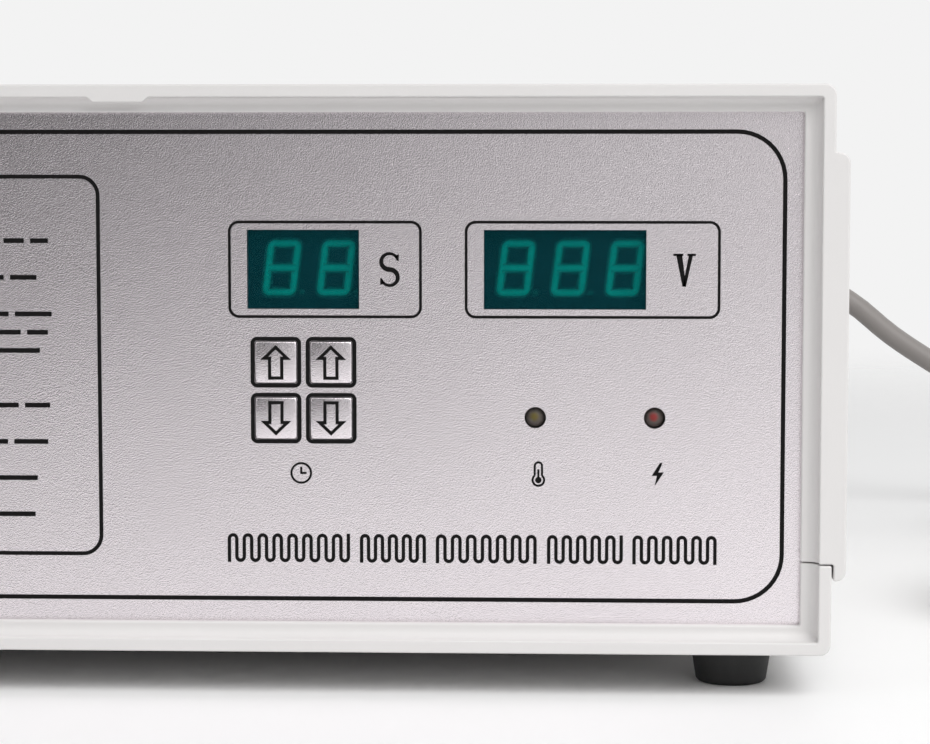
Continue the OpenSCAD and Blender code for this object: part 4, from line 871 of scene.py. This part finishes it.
    def windings(self, panel, ink):
        """Row of coil windings drawn as one upright wave in each group."""
        line, high, pitch = 0.8 * MM, 6.8 * MM, 1.8 * MM
        bm = bmesh.new()
        for left, right in self.WINDINGS:
            count = round((right - left) * MM / pitch)
            step = ((right - left) * MM - line) / count
            run = high - step - line
            pen = Pen(bm, left * MM + line / 2, -high / 2, math.pi / 2, line)
            pen.line(high / 2 + run / 2)
            for i in range(count):
                way = -1 if i % 2 == 0 else 1
                pen.bend(step / 2, way * math.pi, 10)
                pen.line(run if i < count - 1 else high / 2 + run / 2)
        print_piece(bm, "winding_row", on_panel(0, PANEL_Z + self.WINDING_Z), panel, ink)


class SEALER_OT_displays(SealerOperator):
    """Puts unlit digits behind the tinted windows"""

    bl_idname = "sealer.displays"
    bl_label = "Displays"

    # Display, number of digits and place of the first digit from the window's middle in millimetres
    DISPLAYS = (("time", 2, -5.15), ("volt", 3, -11.4))
    DIGIT_RISE = 0.3 * MM
    DIGIT_R = 2.4 * MM
    POINT_R = 1.1 * MM
    POINT_GAP = 2.1 * MM
    PANE_T = 0.8 * MM
    PANE_EDGE = 0.12 * MM
    LIFT = 0.1 * MM
    BAR_LIFT = 0.02 * MM

    def execute(self, context):
        panel = context.scene.sealer_panel
        tint = window_finish("window_tint", panel)
        face = moulded("display_face", linear(3, 50, 59), 0.6, grain=0.5, depth=0.01, drift=0.2)
        face.set("Specular IOR Level", 0.1)
        segment = segment_finish("display_segment", panel)
        for name, count, first in self.DISPLAYS:
            dress(face, f"{name}_display")
            self.pane(name, tint)
            self.digits(name, count, first * MM, panel, segment)
        return {"FINISHED"}

    def pane(self, name, finish):
        """Thin tinted pane in place of the window's solid."""
        low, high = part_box(f"{name}_window")
        size = high - low
        bm = bmesh.new()
        bmesh.ops.create_cube(bm, size=1)
        bmesh.ops.scale(bm, verts=bm.verts, vec=(size.x, self.PANE_T, size.z))
        centre = middle(f"{name}_window")
        place = Vector((centre.x, low.y + self.PANE_T / 2, centre.z))
        bmesh.ops.translate(bm, verts=bm.verts, vec=place)
        front = [e for e in bm.edges if all(v.co.y < place.y for v in e.verts)]
        round_edges(bm, front, self.PANE_EDGE, 2)
        pane = settle(bm, f"{name}_pane", "case", finish)
        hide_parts(f"{name}_window")

    def digit(self, bm, x, panel, core):
        """One soft-edged figure: a rounded frame, a middle bar and a point."""
        wide = panel.segment_w
        frame_face = rectangle(bm, x, 0, panel.digit_w + wide, panel.digit_h + wide)
        made = bmesh.ops.bevel(bm, geom=frame_face.verts[:], offset=self.DIGIT_R, offset_type="OFFSET",
                               affect="VERTICES", segments=5, profile=0.5, material=-1)
        face = made["verts"][0].link_faces[0]
        for level in (1.0, 0.0):
            bmesh.ops.inset_region(bm, faces=[face], thickness=wide / 2, use_even_offset=True,
                                   use_boundary=True)
            for vert in face.verts:
                vert[core] = level
        bmesh.ops.delete(bm, geom=[face], context="FACES_ONLY")
        bar = bmesh.ops.create_grid(bm, x_segments=1, y_segments=2, size=0.5)["verts"]
        bmesh.ops.scale(bm, verts=bar, vec=(panel.digit_w, wide, 1))
        bmesh.ops.translate(bm, verts=bar, vec=(x, 0, self.BAR_LIFT))
        for vert in bar:
            vert[core] = 1.0 if abs(vert.co.y) < wide / 4 else 0.0
        point = bmesh.ops.create_circle(bm, cap_ends=True, cap_tris=True, segments=14,
                                        radius=self.POINT_R)["verts"]
        for vert in point:
            vert[core] = 0.4 if vert.co.length < 0.1 * MM else 0.0
        corner = (x + panel.digit_w / 2 + self.POINT_GAP, -panel.digit_h / 2, 0)
        bmesh.ops.translate(bm, verts=point, vec=corner)

    def digits(self, name, count, first, panel, finish):
        """All the digits of one display, with their decimal points."""
        bm = bmesh.new()
        core = bm.verts.layers.float.new("core")
        for i in range(count):
            self.digit(bm, first + i * panel.digit_pitch, panel, core)
        lean = Matrix.Identity(4)
        lean[0][1] = math.tan(panel.slant)
        centre = middle(f"{name}_window")
        place = on_panel(centre.x, centre.z + self.DIGIT_RISE, MODULE_Y - self.LIFT)
        bmesh.ops.transform(bm, matrix=place @ lean, verts=bm.verts)
        settle(bm, f"{name}_digits", "case", finish)


class SEALER_OT_keys(SealerOperator):
    """Finishes the embossed keys and prints their arrows"""

    bl_idname = "sealer.keys"
    bl_label = "Keys"

    # Outer outline of an upward arrow, in millimetres from the key's middle
    ARROW = ((0, 4.05), (3.6, 0.6), (1.8, 0.6), (1.8, -4.05), (-1.8, -4.05), (-1.8, 0.6), (-3.6, 0.6))
    ARROW_LINE = 0.75 * MM
    DOME = 44 * MM

    def execute(self, context):
        panel = context.scene.sealer_panel
        film = film_finish("key_film", panel)
        ink = ink_finish("key_ink", panel)
        for name, way in KEYS.items():
            dress(film, f"{name}_key")
            soften(0.3 * MM, 4, f"{name}_key")
            self.arrow(name, way, panel, ink)
        return {"FINISHED"}

    def arrow(self, name, way, panel, ink):
        """Outlined arrow that lies on the key's dome."""
        bm = bmesh.new()
        face = outline(bm, [(x * MM, way * y * MM) for x, y in self.ARROW])
        bmesh.ops.recalc_face_normals(bm, faces=[face])
        bmesh.ops.inset_region(bm, faces=[face], thickness=self.ARROW_LINE, use_even_offset=True,
                               use_boundary=True)
        bmesh.ops.delete(bm, geom=[face], context="FACES_ONLY")
        bmesh.ops.subdivide_edges(bm, edges=bm.edges, cuts=3, use_grid_fill=True)
        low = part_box(f"{name}_key")[0]
        for vert in bm.verts:
            vert.co.z = -(vert.co.x ** 2 + vert.co.y ** 2) / (2 * self.DOME)
        centre = middle(f"{name}_key")
        place = on_panel(centre.x, centre.z, low.y)
        print_piece(bm, f"{name}_arrow", place, panel, ink, name)


class SEALER_OT_lamps(SealerOperator):
    """Finishes the two unlit lamps"""

    bl_idname = "sealer.lamps"
    bl_label = "Lamps"

    def execute(self, context):
        smoke = linear(88, 82, 78)
        dress(lamp_finish("amber_lamp", "heat_lamp", linear(94, 84, 44), smoke), "heat_lamp")
        dress(lamp_finish("red_lamp", "current_lamp", linear(128, 50, 48), smoke), "current_lamp")
        return {"FINISHED"}


class SEALER_OT_rear(SealerOperator):
    """Finishes the rear panel and its fittings"""

    bl_idname = "sealer.rear"
    bl_label = "Rear panel"

    def execute(self, context):
        case = context.scene.sealer_case
        sheet = brushed("plate_metal", case.metal, 0.38, 0)
        black = moulded("black_plastic", case.black, 0.45, grain=0.4, depth=0.012, drift=0.2)
        satin = moulded("rocker_plastic", case.black, 0.28, grain=0.3, depth=0.004, drift=0.15)
        boot = moulded("boot_rubber", linear(70, 68, 67), 0.6, grain=0.4, depth=0.02, drift=0.12)
        wire = brushed("guard_wire", linear(190, 190, 194), 0.22, 1)
        dress(sheet, "rear_plate", "front_plate")
        dress(black, "fan_frame", "fan_rotor", "mains_inlet", "switch_frame", "fuse_holder", "fuse_cap")
        dress(satin, "power_rocker")
        dress(boot, "case_boot", "head_boot")
        dress(wire, "fan_guard")
        smooth("rear_plate")
        soften(0.3 * MM, 2, "switch_frame", "fan_rotor", "fuse_cap", "fuse_holder")
        soften(0.5 * MM, 3, "mains_inlet", "fan_frame", "power_rocker")
        soften(0.7 * MM, 4, "fan_guard")
        soften(0.35 * MM, 3, "case_boot", "head_boot")
        self.rocker_marks()
        return {"FINISHED"}

    def rocker_marks(self):
        """White on and off marks on the two halves of the rocker."""
        tilt, half, face, depth = math.radians(9), 7.3 * MM, 3.6 * MM, 2 * MM
        bar, high, radius, line, ink_t = 0.7 * MM, 3.4 * MM, 1.45 * MM, 0.6 * MM, 0.06 * MM
        rise = half * math.tan(tilt) / 2
        centre = middle("switch_frame")
        white = moulded("rocker_ink", linear(232, 232, 230), 0.5, grain=0.25, depth=0.005, drift=0.05)
        seat = (Matrix.Translation((centre.x, REAR_Y, centre.z)) @ Matrix.Rotation(-math.pi / 2, 4, "X")
                @ Matrix.Translation((0, 0, -depth)) @ Matrix.Rotation(tilt, 4, "X"))
        for name, side in (("on_mark", -1), ("off_mark", 1)):
            bm = bmesh.new()
            if side < 0:
                rectangle(bm, 0, 0, bar, high)
            else:
                ring(bm, 0, 0, radius, line)
            thicken(bm, list(bm.faces), ink_t)
            plane = Matrix.Translation((0, side * half / 2, face + rise))
            plane = plane @ Matrix.Rotation(side * tilt, 4, "X")
            bmesh.ops.transform(bm, matrix=seat @ plane, verts=bm.verts)
            settle(bm, name, "rocker", white)


class SEALER_OT_inside(SealerOperator):
    """Finishes the boards and the parts inside the case and the head"""

    bl_idname = "sealer.inside"
    bl_label = "Inside"

    def execute(self, context):
        black = moulded("part_black", linear(34, 34, 36), 0.5, grain=0.4, depth=0.01, drift=0.2)
        brass = moulded("brass", linear(205, 176, 112), 0.3, grain=0.4, depth=0.004, drift=0.1, metallic=1.0)
        copper = moulded("copper_wire", linear(186, 110, 62), 0.3, grain=1.2, depth=0.05, drift=0.15,
                         metallic=0.8)
        dress(black, "key_switches", "transistors", "rectifier_bridge", "seal_switch")
        dress(brass, "control_spacers", "inlet_pins")
        dress(copper, "filter_choke", "transformer_winding", "induction_coil")
        dress(lacquered("board_green", linear(22, 88, 52)), "control_board", "power_board")
        dress(brushed("sink_metal", linear(186, 187, 190), 0.4, 1), "heat_sink")
        dress(lacquered("capacitor_sleeve", linear(22, 34, 72)), "storage_capacitors")
        dress(lacquered("capacitor_box", linear(212, 196, 148)), "resonance_capacitors")
        laminated = moulded("core_steel", linear(90, 90, 94), 0.6, grain=0.6, depth=0.03, drift=0.2,
                            metallic=0.6, scale=(1, 6, 1))
        dress(laminated, "transformer_core")
        dress(moulded("ferrite", linear(56, 56, 60), 0.6, grain=0.5, depth=0.02, drift=0.2), "ferrite_bars")
        dress(lacquered("fuse_glass", linear(214, 220, 220), 0.9), "fuse")
        soften(0.2 * MM, 2, "inlet_pins")
        return {"FINISHED"}


class SEALER_OT_head(SealerOperator):
    """Finishes the sealing head"""

    bl_idname = "sealer.head"
    bl_label = "Sealing head"

    def execute(self, context):
        head = context.scene.sealer_head
        plastic = moulded("head_plastic", head.plastic, 0.42, grain=0.5, depth=0.008, drift=0.02)
        dress(plastic, "head_upper_shell", "head_lower_shell")
        board = moulded("face_board", linear(218, 208, 182), 0.6, grain=0.8, depth=0.02, drift=0.06)
        dress(board, "sealing_face")
        dress(moulded("button_red", head.button, 0.3, grain=0.4, depth=0.006, drift=0.06), "seal_button")
        smooth("head_upper_shell", "head_lower_shell", "seal_button")
        soften(0.5 * MM, 3, "sealing_face")
        return {"FINISHED"}


class SEALER_PT_sidebar(bpy.types.Panel):
    """Lists the sealer's operators in the sidebar"""

    bl_idname = "SEALER_PT_sidebar"
    bl_label = "Cap sealer"
    bl_space_type = "VIEW_3D"
    bl_region_type = "UI"
    bl_category = "Sealer"

    def draw(self, context):
        for operator in OPERATORS:
            self.layout.operator(operator.bl_idname)


GROUPS = {"sealer_stage": SEALER_PG_stage, "sealer_case": SEALER_PG_case, "sealer_panel": SEALER_PG_panel,
          "sealer_head": SEALER_PG_head}
OPERATORS = (SEALER_OT_stage, SEALER_OT_cord, SEALER_OT_case, SEALER_OT_panel, SEALER_OT_print,
             SEALER_OT_displays, SEALER_OT_keys, SEALER_OT_lamps, SEALER_OT_rear, SEALER_OT_inside,
             SEALER_OT_head)


def register():
    """Registers the groups, the operators and the panel."""
    for name, group in GROUPS.items():
        bpy.utils.register_class(group)
        setattr(bpy.types.Scene, name, bpy.props.PointerProperty(type=group))
    for item in (*OPERATORS, SEALER_PT_sidebar):
        bpy.utils.register_class(item)


def unregister():
    """Takes back what register() added."""
    for item in (SEALER_PT_sidebar, *reversed(OPERATORS)):
        bpy.utils.unregister_class(item)
    for name, group in GROUPS.items():
        delattr(bpy.types.Scene, name)
        bpy.utils.unregister_class(group)


def main():
    """Builds the whole scene."""
    register()
    for operator in OPERATORS:
        space, name = operator.bl_idname.split(".")
        getattr(getattr(bpy.ops, space), name)()


if __name__ == "__main__":
    main()
